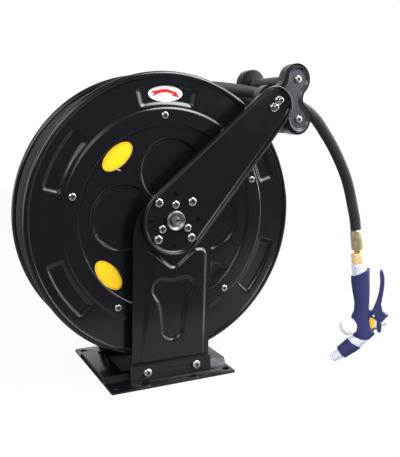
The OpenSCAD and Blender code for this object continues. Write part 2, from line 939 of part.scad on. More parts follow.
module outlet_pipe() {
    color("#a98f55") along_pipe() difference() {
        translate([0, 0, port_boss_top]) cylinder(r = pipe_r, h = barrel_r - port_boss_top);
        translate([0, 0, port_boss_top - over])
            cylinder(r = pipe_r - pipe_wall, h = barrel_r - port_boss_top + 2 * over);
    }
}

pipe_nut_r = 14;
pipe_nut_h = 8;
pipe_nut_gap = 3;

module pipe_nut() {
    z0 = barrel_r - barrel_wall - pipe_nut_gap - pipe_nut_h;
    color("#a98f55") along_pipe() difference() {
        translate([0, 0, z0]) cylinder(r = pipe_nut_r, h = pipe_nut_h, $fn = 6);
        translate([0, 0, z0 - over]) cylinder(r = pipe_r + seat_fit, h = pipe_nut_h + 2 * over);
    }
}

// Power spring in its case

case_gap = 19;
case_r = barrel_r - case_gap;
case_wall = 2;
case_hole_gap = 2;
case_hole_r = collar_r + case_hole_gap;
case_y0 = drum_y - disc_face + lobe_depth + flange_sheet;
case_y1 = -10;
arbor_r = 20;
spring_gap = 1.5;
spring_t = 1.2;
spring_turns = 9;
spring_steps = 24;

module spring_case() {
    color("#4a4c4f") on_axis() difference() {
        rod_y(case_r, case_y0, case_y1 - case_wall);
        rod_y(case_r - case_wall, case_y0 + case_wall, case_y1);
        rod_y(case_hole_r, case_y0 - over, case_y1);
    }
}

module spring_cover() {
    color("#56585b") on_axis() ring_y(case_r, case_hole_r, case_y1 - case_wall, case_y1);
}

module spring_arbor() {
    y0 = case_y0 + case_wall + spring_gap;
    y1 = case_y1 - case_wall - spring_gap;
    color("#7d8083") on_axis() ring_y(arbor_r, shaft_r + seat_fit, y0, y1);
}

// Flat steel strip wound in a spiral, measured to the middle of its thickness
module power_spring() {
    y0 = case_y0 + case_wall + spring_gap;
    y1 = case_y1 - case_wall - spring_gap;
    r0 = arbor_r + spring_gap;
    r1 = case_r - case_wall - spring_t;
    count = spring_turns * spring_steps;
    line = [for (i = [0 : count]) let (t = 360 * i / spring_steps, r = r0 + (r1 - r0) * i / count)
        [r, t]];
    strip = concat(
        [for (p = line) (p[0] + spring_t / 2) * [cos(p[1]), sin(p[1])]],
        [for (i = [count : -1 : 0]) (line[i][0] - spring_t / 2) * [cos(line[i][1]), sin(line[i][1])]]
    );
    color("#5f6468") on_axis() plate_y(y0, y1) polygon(strip);
}

// Ratchet

wheel_r = 40;
wheel_root_r = 35;
wheel_teeth = 16;
wheel_y0 = 50;
wheel_t = 6;
pawl_pin_ring_r = 58;
pawl_pin_angle = 200;
pawl_pin_r = 4;
pawl_eye_r = 8;
pawl_tip_angle = 236;
pawl_tip_gap = 1.2;
pawl_tip_w = 5;
pawl_pin_at = pawl_pin_ring_r * [cos(pawl_pin_angle), sin(pawl_pin_angle)] + [0, axis_h];
spring_wire_r = 0.8;
spring_coil_r = 6;
spring_curls = 4;
spring_curl_rings = 8;

module ratchet_wheel() {
    step = 360 / wheel_teeth;
    color("#7a7d80") on_axis() difference() {
        plate_y(wheel_y0, wheel_y0 + wheel_t)
            polygon([for (i = [0 : wheel_teeth - 1]) each [
                wheel_r * [cos(i * step), sin(i * step)],
                wheel_root_r * [cos(i * step), sin(i * step)]
            ]]);
        rod_y(hub_r + seat_fit, wheel_y0 - over, wheel_y0 + wheel_t + over);
    }
}

module pawl() {
    tip = (wheel_r + pawl_tip_gap) * [cos(pawl_tip_angle), sin(pawl_tip_angle)] + [0, axis_h];
    way = unit(tip - pawl_pin_at);
    across = [-way[1], way[0]];
    color("#66696c") difference() {
        union() {
            translate([pawl_pin_at[0], 0, pawl_pin_at[1]]) rod_y(pawl_eye_r, wheel_y0, wheel_y0 + wheel_t);
            plate_y(wheel_y0, wheel_y0 + wheel_t) polygon([
                pawl_pin_at - across * pawl_eye_r, tip - across * pawl_tip_w, tip, pawl_pin_at
            ]);
        }
        translate([pawl_pin_at[0], 0, pawl_pin_at[1]])
            rod_y(pawl_pin_r + run_fit, wheel_y0 - over, wheel_y0 + wheel_t + over);
    }
}

module pawl_pin() {
    color("#9a9c9e") translate([pawl_pin_at[0], 0, pawl_pin_at[1]]) union() {
        rod_y(pawl_pin_r, wheel_y0 - pass_gap, -post_in_y);
        rod_y(pawl_eye_r, wheel_y0 - pass_gap - washer_h, wheel_y0 - pass_gap);
    }
}

module pawl_spring() {
    y0 = wheel_y0 + wheel_t + pass_gap + spring_wire_r;
    y1 = -post_in_y - spring_wire_r;
    rings = spring_curls * spring_curl_rings;
    lead = 2 * spring_wire_r;
    coil = [for (i = [0 : rings]) let (a = 360 * i / spring_curl_rings)
        [spring_coil_r * cos(a), y0 + (y1 - y0) * i / rings, spring_coil_r * sin(a)]];
    path = concat([coil[0] - [0, 0, lead]], coil, [coil[rings] + [0, 0, lead]]);
    color("#8f9294") translate([pawl_pin_at[0], 0, pawl_pin_at[1]])
        tube(path, spring_wire_r, 6);
}

// Hose on the drum

hose_r = hose_d / 2;
layer_gap = 0.4;
wound_r = barrel_r + hose_d + hose_r + 2 * layer_gap;
core_gap = 3.5;
core_half = ring_face - sector_depth - flange_sheet - core_gap;
loop_rings = 24;
tube_sides = 6;

module hose_core() {
    color("#202123") translate([0, drum_y, axis_h])
        ring_y(wound_r - hose_r - layer_gap, barrel_r + layer_gap, -core_half, core_half);
}

// Point of the wound layer after a number of turns
function wound_at(t) =
    let (a = 360 * t)
    [wound_r * cos(a), (t - hose_turns / 2) * hose_pitch, wound_r * sin(a)];

function wound_path() =
    let (
        rings = round(hose_turns * loop_rings),
        coil = [for (i = [0 : rings]) wound_at(hose_turns * i / rings)],
        first = unit(coil[0] - coil[1]),
        last = unit(coil[rings] - coil[rings - 1])
    )
    concat([coil[0] + hose_d * first], coil, [coil[rings] + hose_d * last]);

// Least distance between points of the wound layer that lie at least half a turn apart
function wound_gap() =
    let (p = wound_path(), n = len(p), skip = loop_rings / 2)
    min([for (i = [0 : n - 1], j = [0 : n - 1]) if (j - i > skip) norm(p[i] - p[j])]) - hose_d;

echo(wound_layer_gap = wound_gap());

module hose_wound() {
    color("#202123") translate([0, drum_y, axis_h]) tube(wound_path(), hose_r, tube_sides);
}

// Free hose: a last half turn over the drum, then through the guide and down to the gun

lead_gap = 3.4;
lead_r = wound_r + hose_d + lead_gap;
lead_y = 2;
lead_from = 262;
lead_to = 98;
lead_rings = 14;
lead_swell = 5.3;
lead_drift = 9;
lead_ease_share = 1.5;
hose_end = [411, -17.5, 203];
gun_turn = -42.5;
gun_tilt = 8.5;
hose_end_dir = [sin(gun_tilt) * cos(gun_turn), sin(gun_tilt) * sin(gun_turn), -cos(gun_tilt)];

// Points of the free hose from the drum to the gun, chosen by hand
hose_route = [
    [10, 1, 450.5], [45, -1, 452.5], [80, -4, 453], [115, -7, 452.5], [150, -10, 450.5], [185, -12, 446.5],
    [215, -13, 441.5], [243, -13, 436], [268, -13, 429.5], [287, -13, 420.5], [305, -13, 407.5],
    [324, -13, 387], [342, -13, 366], [358, -13, 344], [372, -13, 322], [384, -13, 300],
    [393, -13, 278], [400, -13.5, 256], [405, -14.5, 238]
];

function lead_turn() = [for (i = [0 : lead_rings])
    let (
        a = lead_from + (lead_to - lead_from) * i / lead_rings,
        share = min(1, lead_ease_share * sin(180 * i / lead_rings)),
        r = lead_r + lead_swell * share
    )
    [r * cos(a), lead_y + lead_drift * share, axis_h + r * sin(a)]];

module hose_free() {
    path = concat(lead_turn(), hose_route, [hose_end - hose_d * hose_end_dir, hose_end]);
    color("#202123") tube(path, hose_r, 10);
}

// Sets its children at the hose end, in the upright plane of the gun
module gun_place() {
    translate(hose_end) rotate([0, 0, gun_turn]) children();
}

// Sets its children on the inlet axis of the gun, with +Z running down the axis
module inlet_axis() {
    gun_place() rotate([0, 180 - gun_tilt, 0]) children();
}

ferrule_len = 38;
ferrule_r = 11;
ferrule_mid_r = 11.8;
neck_r = 6.5;
neck_len = 6;
swivel_nut_len = 20;
swivel_nut_r = 13.4;
nut_chamfer = 1.5;
inlet_len = 28;
inlet_r = 14.2;
inlet_thread_r = 8;

module hose_ferrule() {
    mid = ferrule_len / 2;
    stub = ferrule_len + neck_len + swivel_nut_len / 2;
    color("#b9b6a6") inlet_axis() rotate_extrude() polygon([
        [0, 0], [ferrule_r, 0], [ferrule_mid_r, mid], [ferrule_r, ferrule_len - nut_chamfer],
        [ferrule_r - nut_chamfer, ferrule_len], [neck_r, ferrule_len], [neck_r, stub], [0, stub]
    ]);
}

module hose_nut() {
    z0 = ferrule_len + neck_len;
    color("#d9b878") inlet_axis() difference() {
        translate([0, 0, z0]) cylinder(r = swivel_nut_r, h = swivel_nut_len, $fn = 6);
        translate([0, 0, z0 - over]) cylinder(r = neck_r + seat_fit, h = swivel_nut_len + 2 * over);
        translate([0, 0, z0 + swivel_nut_len / 2]) cylinder(r = inlet_thread_r, h = swivel_nut_len);
    }
}

module gun_inlet() {
    z0 = ferrule_len + neck_len + swivel_nut_len;
    spigot = swivel_nut_len / 2 - pass_gap;
    color("#d5d8e2") inlet_axis() difference() {
        union() {
            translate([0, 0, z0]) cylinder(r = inlet_r, h = inlet_len);
            translate([0, 0, z0 - spigot]) cylinder(r = inlet_thread_r - seat_fit, h = spigot);
        }
        translate([0, 0, z0 - spigot - over]) cylinder(r = bore_r, h = inlet_len + spigot + 2 * over);
    }
}

// Spray gun: X in its plane to the rear, Z up, measured from the hose end

grip_top = [12.2, -88.5];
head_at = [19.4, -216.6];
head_angle = 42.8;
head_rear = 33;
head_front = 9;
head_r = 14.7;
heel_r = 9;
dome_at = [-1.3, -6, -188.9];
dome_r = 17.5;
lever_pin_at = [44, -163];
lever_pin_r = 2;
lever_swing_r = 27.1;
stem_r = 2.5;
slot_w = 8;
lug_w = 7;
lock_pin_at = [41.5, -171.5];
lock_pin_r = 1.6;
lock_w = 11;
tongue_w = 4;

// Stations of the grip as shares of its length: offset, height, half width, half depth and slant
grip_shares = [
    [0.012, 0.068, 0.138, 0.128, 0.074], [0.022, -0.068, 0.139, 0.116, 0.032],
    [0.042, -0.228, 0.134, 0.108, 0], [0.066, -0.412, 0.114, 0.104, 0], [0.068, -0.548, 0.113, 0.104, 0],
    [0.058, -0.644, 0.136, 0.108, 0], [0.060, -0.760, 0.150, 0.112, 0], [0.080, -0.880, 0.158, 0.112, 0],
    [0.110, -0.960, 0.130, 0.104, 0], [0.120, -1.010, 0.090, 0.080, 0]
];
grip_sides = 20;
grip_depth_share = grip_half_d / (0.108 * grip_h);

// Sets its children on the axis of the valve and nozzle, with +Z running to the rear
module nozzle_axis() {
    gun_place() translate([head_at[0], 0, head_at[1]]) rotate([0, 90 - head_angle, 0]) children();
}

// Gives an outline in the gun plane a width across it
module across_gun(w) {
    gun_place() translate([0, w / 2, 0]) rotate([90, 0, 0]) linear_extrude(w) children();
}

// Sets its children on the pin of the lever
module at_lever_pin() {
    gun_place() translate([lever_pin_at[0], 0, lever_pin_at[1]]) children();
}

// Sets its children on the pin of the lock
module at_lock_pin() {
    gun_place() translate([lock_pin_at[0], 0, lock_pin_at[1]]) children();
}

module grip_solid() {
    pts = [for (s = grip_shares, j = [0 : grip_sides - 1]) let (a = 360 * j / grip_sides)
        [grip_top[0] + grip_h * (s[0] + s[2] * cos(a)), grip_h * s[3] * grip_depth_share * sin(a),
            grip_top[1] + grip_h * (s[1] + s[4] * cos(a))]];
    gun_place() polyhedron(points = pts, faces = tube_faces(len(grip_shares), grip_sides));
}

lug_step = 4;
lug_pts = [[30, -152], [45, -156], [49, -160], [48.4, -166.6], [44, -168], [43.5, -174], [39.5, -174],
    [36, -167], [30, -165]];

module gun_lug() {
    across_gun(lug_w) polygon([for (p = lug_pts) if (p[1] > lock_pin_at[1] + lug_step) p]);
    across_gun(tongue_w) polygon(lug_pts);
}

module gun_body() {
    color("#3a3e6b") difference() {
        union() {
            grip_solid();
            nozzle_axis() translate([0, 0, -head_front])
                cylinder(r1 = head_r, r2 = heel_r, h = head_front + head_rear);
            gun_lug();
        }
        inlet_axis() cylinder(r = inlet_r + seat_fit,
            h = ferrule_len + neck_len + swivel_nut_len + inlet_len + seat_fit);
        gun_place() translate(dome_at) sphere(r = dome_r + seat_fit);
        nozzle_axis() cylinder(r = stem_r + run_fit, h = head_rear + over);
        nozzle_axis() translate([0, 0, -head_front - head_r]) cylinder(r = 2 * head_r, h = head_r);
        at_lever_pin() rod_y(lever_pin_r + seat_fit, -lug_w, lug_w);
        at_lock_pin() rod_y(lock_pin_r + seat_fit, -lug_w, lug_w);
    }
}

module gun_dome() {
    color("#e4e6ee") difference() {
        gun_place() translate(dome_at) sphere(r = dome_r);
        nozzle_axis() translate([0, 0, -2 * head_r - head_front + seat_fit])
            cylinder(r = 2 * head_r, h = 2 * head_r);
    }
}

band_len = 11;
barrel_tube_r = 9;
nozzle_bore_r = 4;
sleeve_front_r = 13.2;
tip_len = 23;
tip_r = 10.7;
tip_front_r = 7.2;
tip_bore_r = 2.5;
sleeve_z = -head_front - band_len - pass_gap;

module gun_band() {
    color("#cfd2d8") nozzle_axis() difference() {
        union() {
            translate([0, 0, -head_front - band_len])
                cylinder(r1 = sleeve_r + pass_gap, r2 = head_r, h = band_len - seat_fit);
            translate([0, 0, sleeve_z - sleeve_len + pass_gap]) cylinder(r = barrel_tube_r, h = sleeve_len);
        }
        translate([0, 0, sleeve_z - sleeve_len]) cylinder(r = nozzle_bore_r, h = sleeve_len + band_len);
    }
}

module nozzle_sleeve() {
    color("#3a3e6b") nozzle_axis() difference() {
        translate([0, 0, sleeve_z - sleeve_len]) cylinder(r1 = sleeve_front_r, r2 = sleeve_r, h = sleeve_len);
        translate([0, 0, sleeve_z - sleeve_len - over])
            cylinder(r = barrel_tube_r + run_fit, h = sleeve_len + 2 * over);
    }
}

module nozzle_tip() {
    z0 = sleeve_z - sleeve_len - tip_len;
    color("#e4e6ee") nozzle_axis() difference() {
        translate([0, 0, z0]) cylinder(r1 = tip_front_r, r2 = tip_r, h = tip_len);
        translate([0, 0, z0 - over]) cylinder(r = tip_bore_r, h = tip_len + 2 * over);
    }
}

stem_in = 12;
stem_out = 60;
knob_z = 56;
knob_len = 11;
knob_r = 6.5;
knob_round = 2;
knob_room = 1.2;

// Outline of the lever from its pin, as shares of its height
lever_shares = [
    [0.062, 0.89], [0.086, 0.72], [0.076, 0.50], [0.034, 0.29], [-0.046, 0.05], [-0.040, -0.035],
    [0.020, -0.060], [0.074, -0.115], [0.078, -0.290], [0.118, -0.360], [0.172, -0.345], [0.178, -0.180],
    [0.190, -0.110], [0.240, -0.030], [0.300, 0.030], [0.185, 0.075], [0.135, 0.250], [0.160, 0.50],
    [0.172, 0.68], [0.160, 0.84], [0.120, 0.97], [0.070, 0.985]
];
lever_slot_top_share = 0.11;
lever_slot_back_share = 0.21;

module lever_outline() {
    polygon([for (p = lever_shares) lever_pin_at + lever_h * p]);
}

module trigger_lever() {
    slot_top = lever_pin_at[1] + lever_h * lever_slot_top_share;
    slot_back = lever_pin_at[0] + lever_h * lever_slot_back_share;
    slot_left = lever_pin_at[0] - lever_h;
    slot_low = lever_pin_at[1] - lever_h;
    color("#34386a") difference() {
        across_gun(lever_w) lever_outline();
        across_gun(slot_w) polygon([[slot_left, slot_low], [slot_back, slot_low], [slot_back, slot_top],
            [slot_left, slot_top]]);
        at_lever_pin() rod_y(lever_pin_r + run_fit, -lever_w, lever_w);
        nozzle_axis() translate([0, 0, knob_z - knob_room])
            cylinder(r = knob_r + knob_room, h = knob_len + 2 * knob_room);
    }
}

module trigger_pin() {
    reach = lever_w / 2 + pass_gap;
    color("#e4e6ee") at_lever_pin() rod_y(lever_pin_r, -reach, reach);
}

lock_pts = [[38.2, -168.6], [45, -170], [47.3, -173], [46.6, -180], [43.4, -188.5], [41.2, -188],
    [39.4, -180]];

module trigger_lock() {
    color("#f0b51f") difference() {
        across_gun(lock_w) polygon(lock_pts);
        across_gun(tongue_w + pass_gap) translate(lock_pin_at) polygon([[-lock_w, -lock_w / 2],
            [lock_w, -lock_w / 2], [lock_w, lock_w], [-lock_w, lock_w]]);
        at_lock_pin() rod_y(lock_pin_r + run_fit, -lock_w, lock_w);
    }
}

module lock_pin() {
    reach = lock_w / 2;
    color("#c9c7bd") at_lock_pin() rod_y(lock_pin_r, -reach, reach);
}

module valve_stem() {
    color("#c9ccd2") nozzle_axis() translate([0, 0, stem_in]) cylinder(r = stem_r, h = stem_out - stem_in);
}

module valve_knob() {
    color("#d5d8de") nozzle_axis() difference() {
        rotate_extrude() polygon([
            [0, knob_z], [knob_r, knob_z], [knob_r, knob_z + knob_len - knob_round],
            [knob_r - knob_round, knob_z + knob_len], [0, knob_z + knob_len]
        ]);
        translate([0, 0, knob_z - over])
            cylinder(r = stem_r + seat_fit, h = stem_out - knob_z + over + seat_fit);
    }
}

base_plate();
front_post();
rear_post();
base_bolts();
base_nuts();
front_arm();
rear_arm();
arm_bolts();
arm_nuts();
front_boss();
rear_boss();
boss_bolts();
hub_cup();
main_shaft();
shaft_seals();
inlet_elbow();
near_guide_plate();
far_guide_plate();
guide_bolts();
roller_axles();
axle_screws();
top_roller();
bottom_roller();
spring_arbor();
pawl();
pawl_pin();
pawl_spring();
front_flange();
rear_flange();
drum_barrel();
flange_screws();
front_hub();
rear_hub();
front_bush();
rear_bush();
spring_case();
spring_cover();
power_spring();
ratchet_wheel();
outlet_pipe();
pipe_nut();
hose_core();
hose_wound();
hose_free();
hose_ferrule();
hose_nut();
gun_inlet();
gun_body();
gun_dome();
gun_band();
nozzle_sleeve();
nozzle_tip();
trigger_lever();
trigger_pin();
trigger_lock();
lock_pin();
valve_stem();
valve_knob();
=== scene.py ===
"""Builds and dresses a bolt-down hose reel with a sprung drum, a roller guide and a spray gun."""

import json
import logging
import math
from collections.abc import Callable, Iterator, Sequence
from contextlib import contextmanager
from dataclasses import dataclass, field
from enum import Enum

import bmesh
import bpy
import numpy as np
from mathutils import Matrix, Vector


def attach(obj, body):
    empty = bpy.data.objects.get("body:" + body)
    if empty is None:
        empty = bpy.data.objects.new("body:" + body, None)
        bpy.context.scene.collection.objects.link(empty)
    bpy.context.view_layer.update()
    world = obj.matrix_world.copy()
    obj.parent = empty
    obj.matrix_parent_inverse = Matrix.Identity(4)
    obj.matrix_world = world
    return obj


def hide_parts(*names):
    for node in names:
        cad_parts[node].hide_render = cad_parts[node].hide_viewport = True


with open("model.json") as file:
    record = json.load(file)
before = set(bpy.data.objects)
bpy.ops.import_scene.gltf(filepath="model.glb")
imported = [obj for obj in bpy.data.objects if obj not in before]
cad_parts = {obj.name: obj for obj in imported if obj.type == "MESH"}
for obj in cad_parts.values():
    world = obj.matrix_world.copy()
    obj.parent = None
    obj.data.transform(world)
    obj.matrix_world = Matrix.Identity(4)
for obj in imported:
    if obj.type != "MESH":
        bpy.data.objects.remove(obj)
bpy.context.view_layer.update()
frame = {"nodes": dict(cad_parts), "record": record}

MM = 0.001
LOG = logging.getLogger("hose_reel")

Point2 = tuple[float, float]
Point3 = tuple[float, float, float]
Test = Callable[[Vector, Vector, float], bool]

# Places that several pieces share, in millimetres
AXIS_Z = 250.0
DRUM_Y = -15.0
TOP_AXLE: Point2 = (213.997, 469.019)
LOW_AXLE: Point2 = (218.997, 406.019)
HOSE_END: Point3 = (411.0, -17.5, 203.0)

# Half the side of the square that the arm bolts stand on, in millimetres
BOLT_SQUARE = 27.5

# Level direction to the rear of the gun
GUN_BACK: Point2 = (0.73728, -0.67559)


class Kind(Enum):
    """Mesh elements that can be chosen for a step."""

    FACE = "FACE"
    EDGE = "EDGE"


class Side(Enum):
    """End of the drum axis that a piece belongs to: the sign of its outward Y."""

    FRONT = -1
    REAR = 1


class Grain(Enum):
    """Fine surface of a finish."""

    ORANGE_PEEL = "orange peel"
    BRUSHED = "brushed"
    CLOTH = "cloth print"
    MOULDED = "moulded"
    POLISHED = "polished"


# ---------------------------------------------------------------------------
# Outlines and distances, all in millimetres
# ---------------------------------------------------------------------------


def arc(centre: Point2, radius: float, start: float, stop: float, steps: int) -> list[Point2]:
    """Points of a circular arc.

    Args:
        centre: middle of the arc.
        radius: radius of the arc.
        start: first angle in degrees.
        stop: last angle in degrees.
        steps: number of steps between them.

    Returns:
        The points from start to stop.
    """
    angles = np.radians(np.linspace(start, stop, steps + 1))
    return [(centre[0] + radius * math.cos(a), centre[1] + radius * math.sin(a)) for a in angles]


def rounded(points: Sequence[Point2], radii: Sequence[float], steps: int = 8) -> list[Point2]:
    """Closed outline with its corners rounded.

    Args:
        points: corners in order.
        radii: radius of each corner, zero for a sharp one.
        steps: steps in each rounded corner.

    Returns:
        The points of the outline.
    """
    out: list[Point2] = []
    corners = [Vector(p) for p in points]
    for i, corner in enumerate(corners):
        if radii[i] <= 0:
            out.append((corner.x, corner.y))
            continue
        back = (corners[i - 1] - corner).normalized()
        ahead = (corners[(i + 1) % len(corners)] - corner).normalized()
        half = back.angle(ahead) / 2
        centre = corner + (back + ahead).normalized() * (radii[i] / math.sin(half))
        start = corner + back * (radii[i] / math.tan(half)) - centre
        turn = math.copysign(math.pi - 2 * half, start.x * ahead.y - start.y * ahead.x)
        for k in range(steps + 1):
            a = turn * k / steps
            x = start.x * math.cos(a) - start.y * math.sin(a)
            y = start.x * math.sin(a) + start.y * math.cos(a)
            out.append((centre.x + x, centre.y + y))
    return out


def inside_distance(points: np.ndarray, outline: Sequence[Point2]) -> np.ndarray:
    """Distance of points inside a closed outline to its edge.

    Args:
        points: array of plane points.
        outline: closed outline.

    Returns:
        Distance for each point, positive inside and negative outside.
    """
    ring = np.asarray(outline, float)
    best = np.full(len(points), 1e9)
    within = np.zeros(len(points), bool)
    for a, b in zip(ring, np.roll(ring, -1, axis=0)):
        run = b - a
        share = np.clip(((points - a) @ run) / max(run @ run, 1e-12), 0, 1)
        best = np.minimum(best, np.linalg.norm(points - a - share[:, None] * run, axis=1))
        if a[1] != b[1]:
            crosses = (points[:, 1] >= a[1]) != (points[:, 1] >= b[1])
            x = a[0] + (points[:, 1] - a[1]) / (b[1] - a[1]) * run[0]
            within ^= crosses & (points[:, 0] < x)
    return np.where(within, best, -best)


def ramp(distance: np.ndarray, width: float) -> np.ndarray:
    """Smooth rise from 0 to 1 over a width."""
    t = np.clip(distance / width, 0, 1)
    return t * t * (3 - 2 * t)


def smooth_line(points: Sequence[Point3], step: float) -> list[Point3]:
    """Dense smooth line through points.

    Args:
        points: places that the line passes.
        step: greatest distance between the points of the line.

    Returns:
        Points of a centripetal Catmull-Rom line.
    """
    p = np.asarray(points, float)
    p = np.vstack([2 * p[0] - p[1], p, 2 * p[-1] - p[-2]])
    out: list[Point3] = []
    for i in range(1, len(p) - 2):
        knots = [0.0]
        for k in range(3):
            knots.append(knots[-1] + max(np.linalg.norm(p[i + k] - p[i + k - 1]), 1e-6) ** 0.5)
        count = max(1, math.ceil(np.linalg.norm(p[i + 1] - p[i]) / step))
        for t in np.linspace(knots[1], knots[2], count, endpoint=False):
            level = [p[i - 1 + k] for k in range(4)]
            for depth in range(1, 4):
                level = [
                    (level[k] * (knots[k + depth] - t) + level[k + 1] * (t - knots[k]))
                    / (knots[k + depth] - knots[k])
                    for k in range(4 - depth)
                ]
            out.append(tuple(level[0]))
    out.append(tuple(p[-2]))
    return out


# ---------------------------------------------------------------------------
# Modelling bench
# ---------------------------------------------------------------------------


class Bench:
    """Steps of modelling by hand: add, choose, extrude, inset, bevel, spin, cut and copy."""

    @staticmethod
    def pick(obj: bpy.types.Object, *others: bpy.types.Object) -> None:
        """Select these objects alone, with the first one active.

        Args:
            obj: object that becomes the active one.
            others: objects that are selected with it.
        """
        if bpy.context.object is not None and bpy.context.object.mode != "OBJECT":
            bpy.ops.object.mode_set(mode="OBJECT")
        bpy.ops.object.select_all(action="DESELECT")
        for each in (obj, *others):
            each.select_set(True)
        bpy.context.view_layer.objects.active = obj

    @staticmethod
    @contextmanager
    def editing(obj: bpy.types.Object, kind: Kind = Kind.FACE, everything: bool = True) -> Iterator[None]:
        """Open an object in edit mode for a few steps.

        Args:
            obj: object to edit.
            kind: elements that are selected.
            everything: whether to select all of them first.

        Yields:
            Nothing, while edit mode is open.
        """
        Bench.pick(obj)
        bpy.context.tool_settings.mesh_select_mode = (False, kind is Kind.EDGE, kind is Kind.FACE)
        bpy.ops.object.mode_set(mode="EDIT")
        if everything:
            bpy.ops.mesh.select_all(action="SELECT")
        yield
        bpy.ops.object.mode_set(mode="OBJECT")

    @staticmethod
    def loop(name: str, points: Sequence[Point3]) -> bpy.types.Object:
        """Add a circle and set its points.

        Args:
            name: name of the new object.
            points: places of its points in order.

        Returns:
            The object with its closed wire.
        """
        bpy.ops.mesh.primitive_circle_add(vertices=len(points), fill_type="NOTHING", location=(0, 0, 0))
        obj = bpy.context.object
        obj.name = obj.data.name = name
        Bench.set_points(obj, np.asarray(points, float))
        return obj

    @staticmethod
    def grid(name: str, columns: int, rows: int) -> bpy.types.Object:
        """Add a flat grid from -1 to 1.

        Args:
            name: name of the new object.
            columns: faces along X.
            rows: faces along Y.

        Returns:
            The grid.
        """
        bpy.ops.mesh.primitive_grid_add(x_subdivisions=columns, y_subdivisions=rows, location=(0, 0, 0))
        obj = bpy.context.object
        obj.name = obj.data.name = name
        return obj

    @staticmethod
    def points(obj: bpy.types.Object) -> np.ndarray:
        """Read the points of an object.

        Args:
            obj: object to read.

        Returns:
            Its points, in metres.
        """
        flat = np.empty(len(obj.data.vertices) * 3)
        obj.data.vertices.foreach_get("co", flat)
        return flat.reshape(-1, 3)

    @staticmethod
    def set_points(obj: bpy.types.Object, places: np.ndarray) -> None:
        """Move the points of an object to places in millimetres."""
        obj.data.vertices.foreach_set("co", (places * MM).ravel())
        obj.data.update()

    @staticmethod
    def set_on(obj: bpy.types.Object, place: Matrix) -> None:
        """Move the mesh of an object by a matrix in millimetres."""
        obj.data.transform(Matrix.Scale(MM, 4) @ place @ Matrix.Scale(1 / MM, 4))

    @staticmethod
    def tidy(obj: bpy.types.Object, merge: float = 0.001) -> bpy.types.Object:
        """Merge doubled points, drop loose ones and turn all faces outwards.

        Args:
            obj: object to tidy.
            merge: greatest distance between doubled points.

        Returns:
            The same object.
        """
        with Bench.editing(obj):
            bpy.ops.mesh.remove_doubles(threshold=merge * MM)
            bpy.ops.mesh.delete_loose(use_verts=True, use_edges=True, use_faces=False)
            bpy.ops.mesh.select_all(action="SELECT")
            bpy.ops.mesh.normals_make_consistent(inside=False)
        return obj

    @staticmethod
    def extruded(name: str, outline: Sequence[Point3], way: Point3) -> bpy.types.Object:
        """Fill an outline and extrude it.

        Args:
            name: name of the new object.
            outline: closed flat outline.
            way: length and direction of the extrusion.

        Returns:
            The solid object.
        """
        obj = Bench.loop(name, outline)
        with Bench.editing(obj, Kind.EDGE):
            bpy.ops.mesh.edge_face_add()
            bpy.ops.mesh.select_all(action="SELECT")
            bpy.ops.mesh.extrude_region_move(TRANSFORM_OT_translate={"value": tuple(w * MM for w in way)})
        return Bench.tidy(obj)

    @staticmethod
    def slab(name: str, outline: Sequence[Point2], y0: float, y1: float) -> bpy.types.Object:
        """Extrude an outline in X and Z from one place along Y to another."""
        return Bench.extruded(name, [(x, y0, z) for x, z in outline], (0, y1 - y0, 0))

    @staticmethod
    def hexagon(name: str, radius: float, z0: float, height: float) -> bpy.types.Object:
        """Extrude a hexagon up along Z."""
        return Bench.extruded(name, [(x, y, z0) for x, y in arc((0, 0), radius, 0, 300, 5)], (0, 0, height))

    @staticmethod
    def turned(
        name: str, profile: Sequence[Point2], place: Matrix, steps: int = 64, smooth: float = 30
    ) -> bpy.types.Object:
        """Spin a closed profile round an axis.

        Args:
            name: name of the new object.
            profile: points of radius and place along the axis.
            place: matrix that sets the Z axis of the turning on the part, in millimetres.
            steps: steps of the spin.
            smooth: angle below which edges are shaded smooth.

        Returns:
            The turned object.
        """
        obj = Bench.loop(name, [(r, 0.0, t) for r, t in profile])
        with Bench.editing(obj, Kind.EDGE):
            bpy.ops.mesh.spin(steps=steps, angle=2 * math.pi, center=(0, 0, 0), axis=(0, 0, 1))
        Bench.set_on(obj, place)
        Bench.tidy(obj, 0.004)
        return Bench.soften(obj, smooth)

    @staticmethod
    def choose(obj: bpy.types.Object, kind: Kind, test: Test) -> int:
        """Choose faces or edges by their place.

        Args:
            obj: object to look at.
            kind: faces or edges.
            test: takes the middle in millimetres, the normal or direction, and the angle of an edge.

        Returns:
            The number of chosen elements.
        """
        shape = bmesh.new()
        shape.from_mesh(obj.data)
        if kind is Kind.FACE:
            flags = [test(f.calc_center_median() / MM, f.normal, 0.0) for f in shape.faces]
        else:
            flags = []
            for e in shape.edges:
                angle = math.degrees(e.calc_face_angle(0.0)) if len(e.link_faces) == 2 else 180.0
                middle = (e.verts[0].co + e.verts[1].co) / 2
                flags.append(test(middle / MM, (e.verts[1].co - e.verts[0].co).normalized(), angle))
        shape.free()
        data = obj.data
        data.vertices.foreach_set("select", [False] * len(data.vertices))
        data.edges.foreach_set("select", flags if kind is Kind.EDGE else [False] * len(data.edges))
        data.polygons.foreach_set("select", flags if kind is Kind.FACE else [False] * len(data.polygons))
        data.update()
        return sum(flags)

    @staticmethod
    def flip_faces(obj: bpy.types.Object, test: Test) -> None:
        """Turn the faces that pass a test round.

        Args:
            obj: object to mend.
            test: as for choose.
        """
        Bench.choose(obj, Kind.FACE, test)
        with Bench.editing(obj, everything=False):
            bpy.ops.mesh.flip_normals()

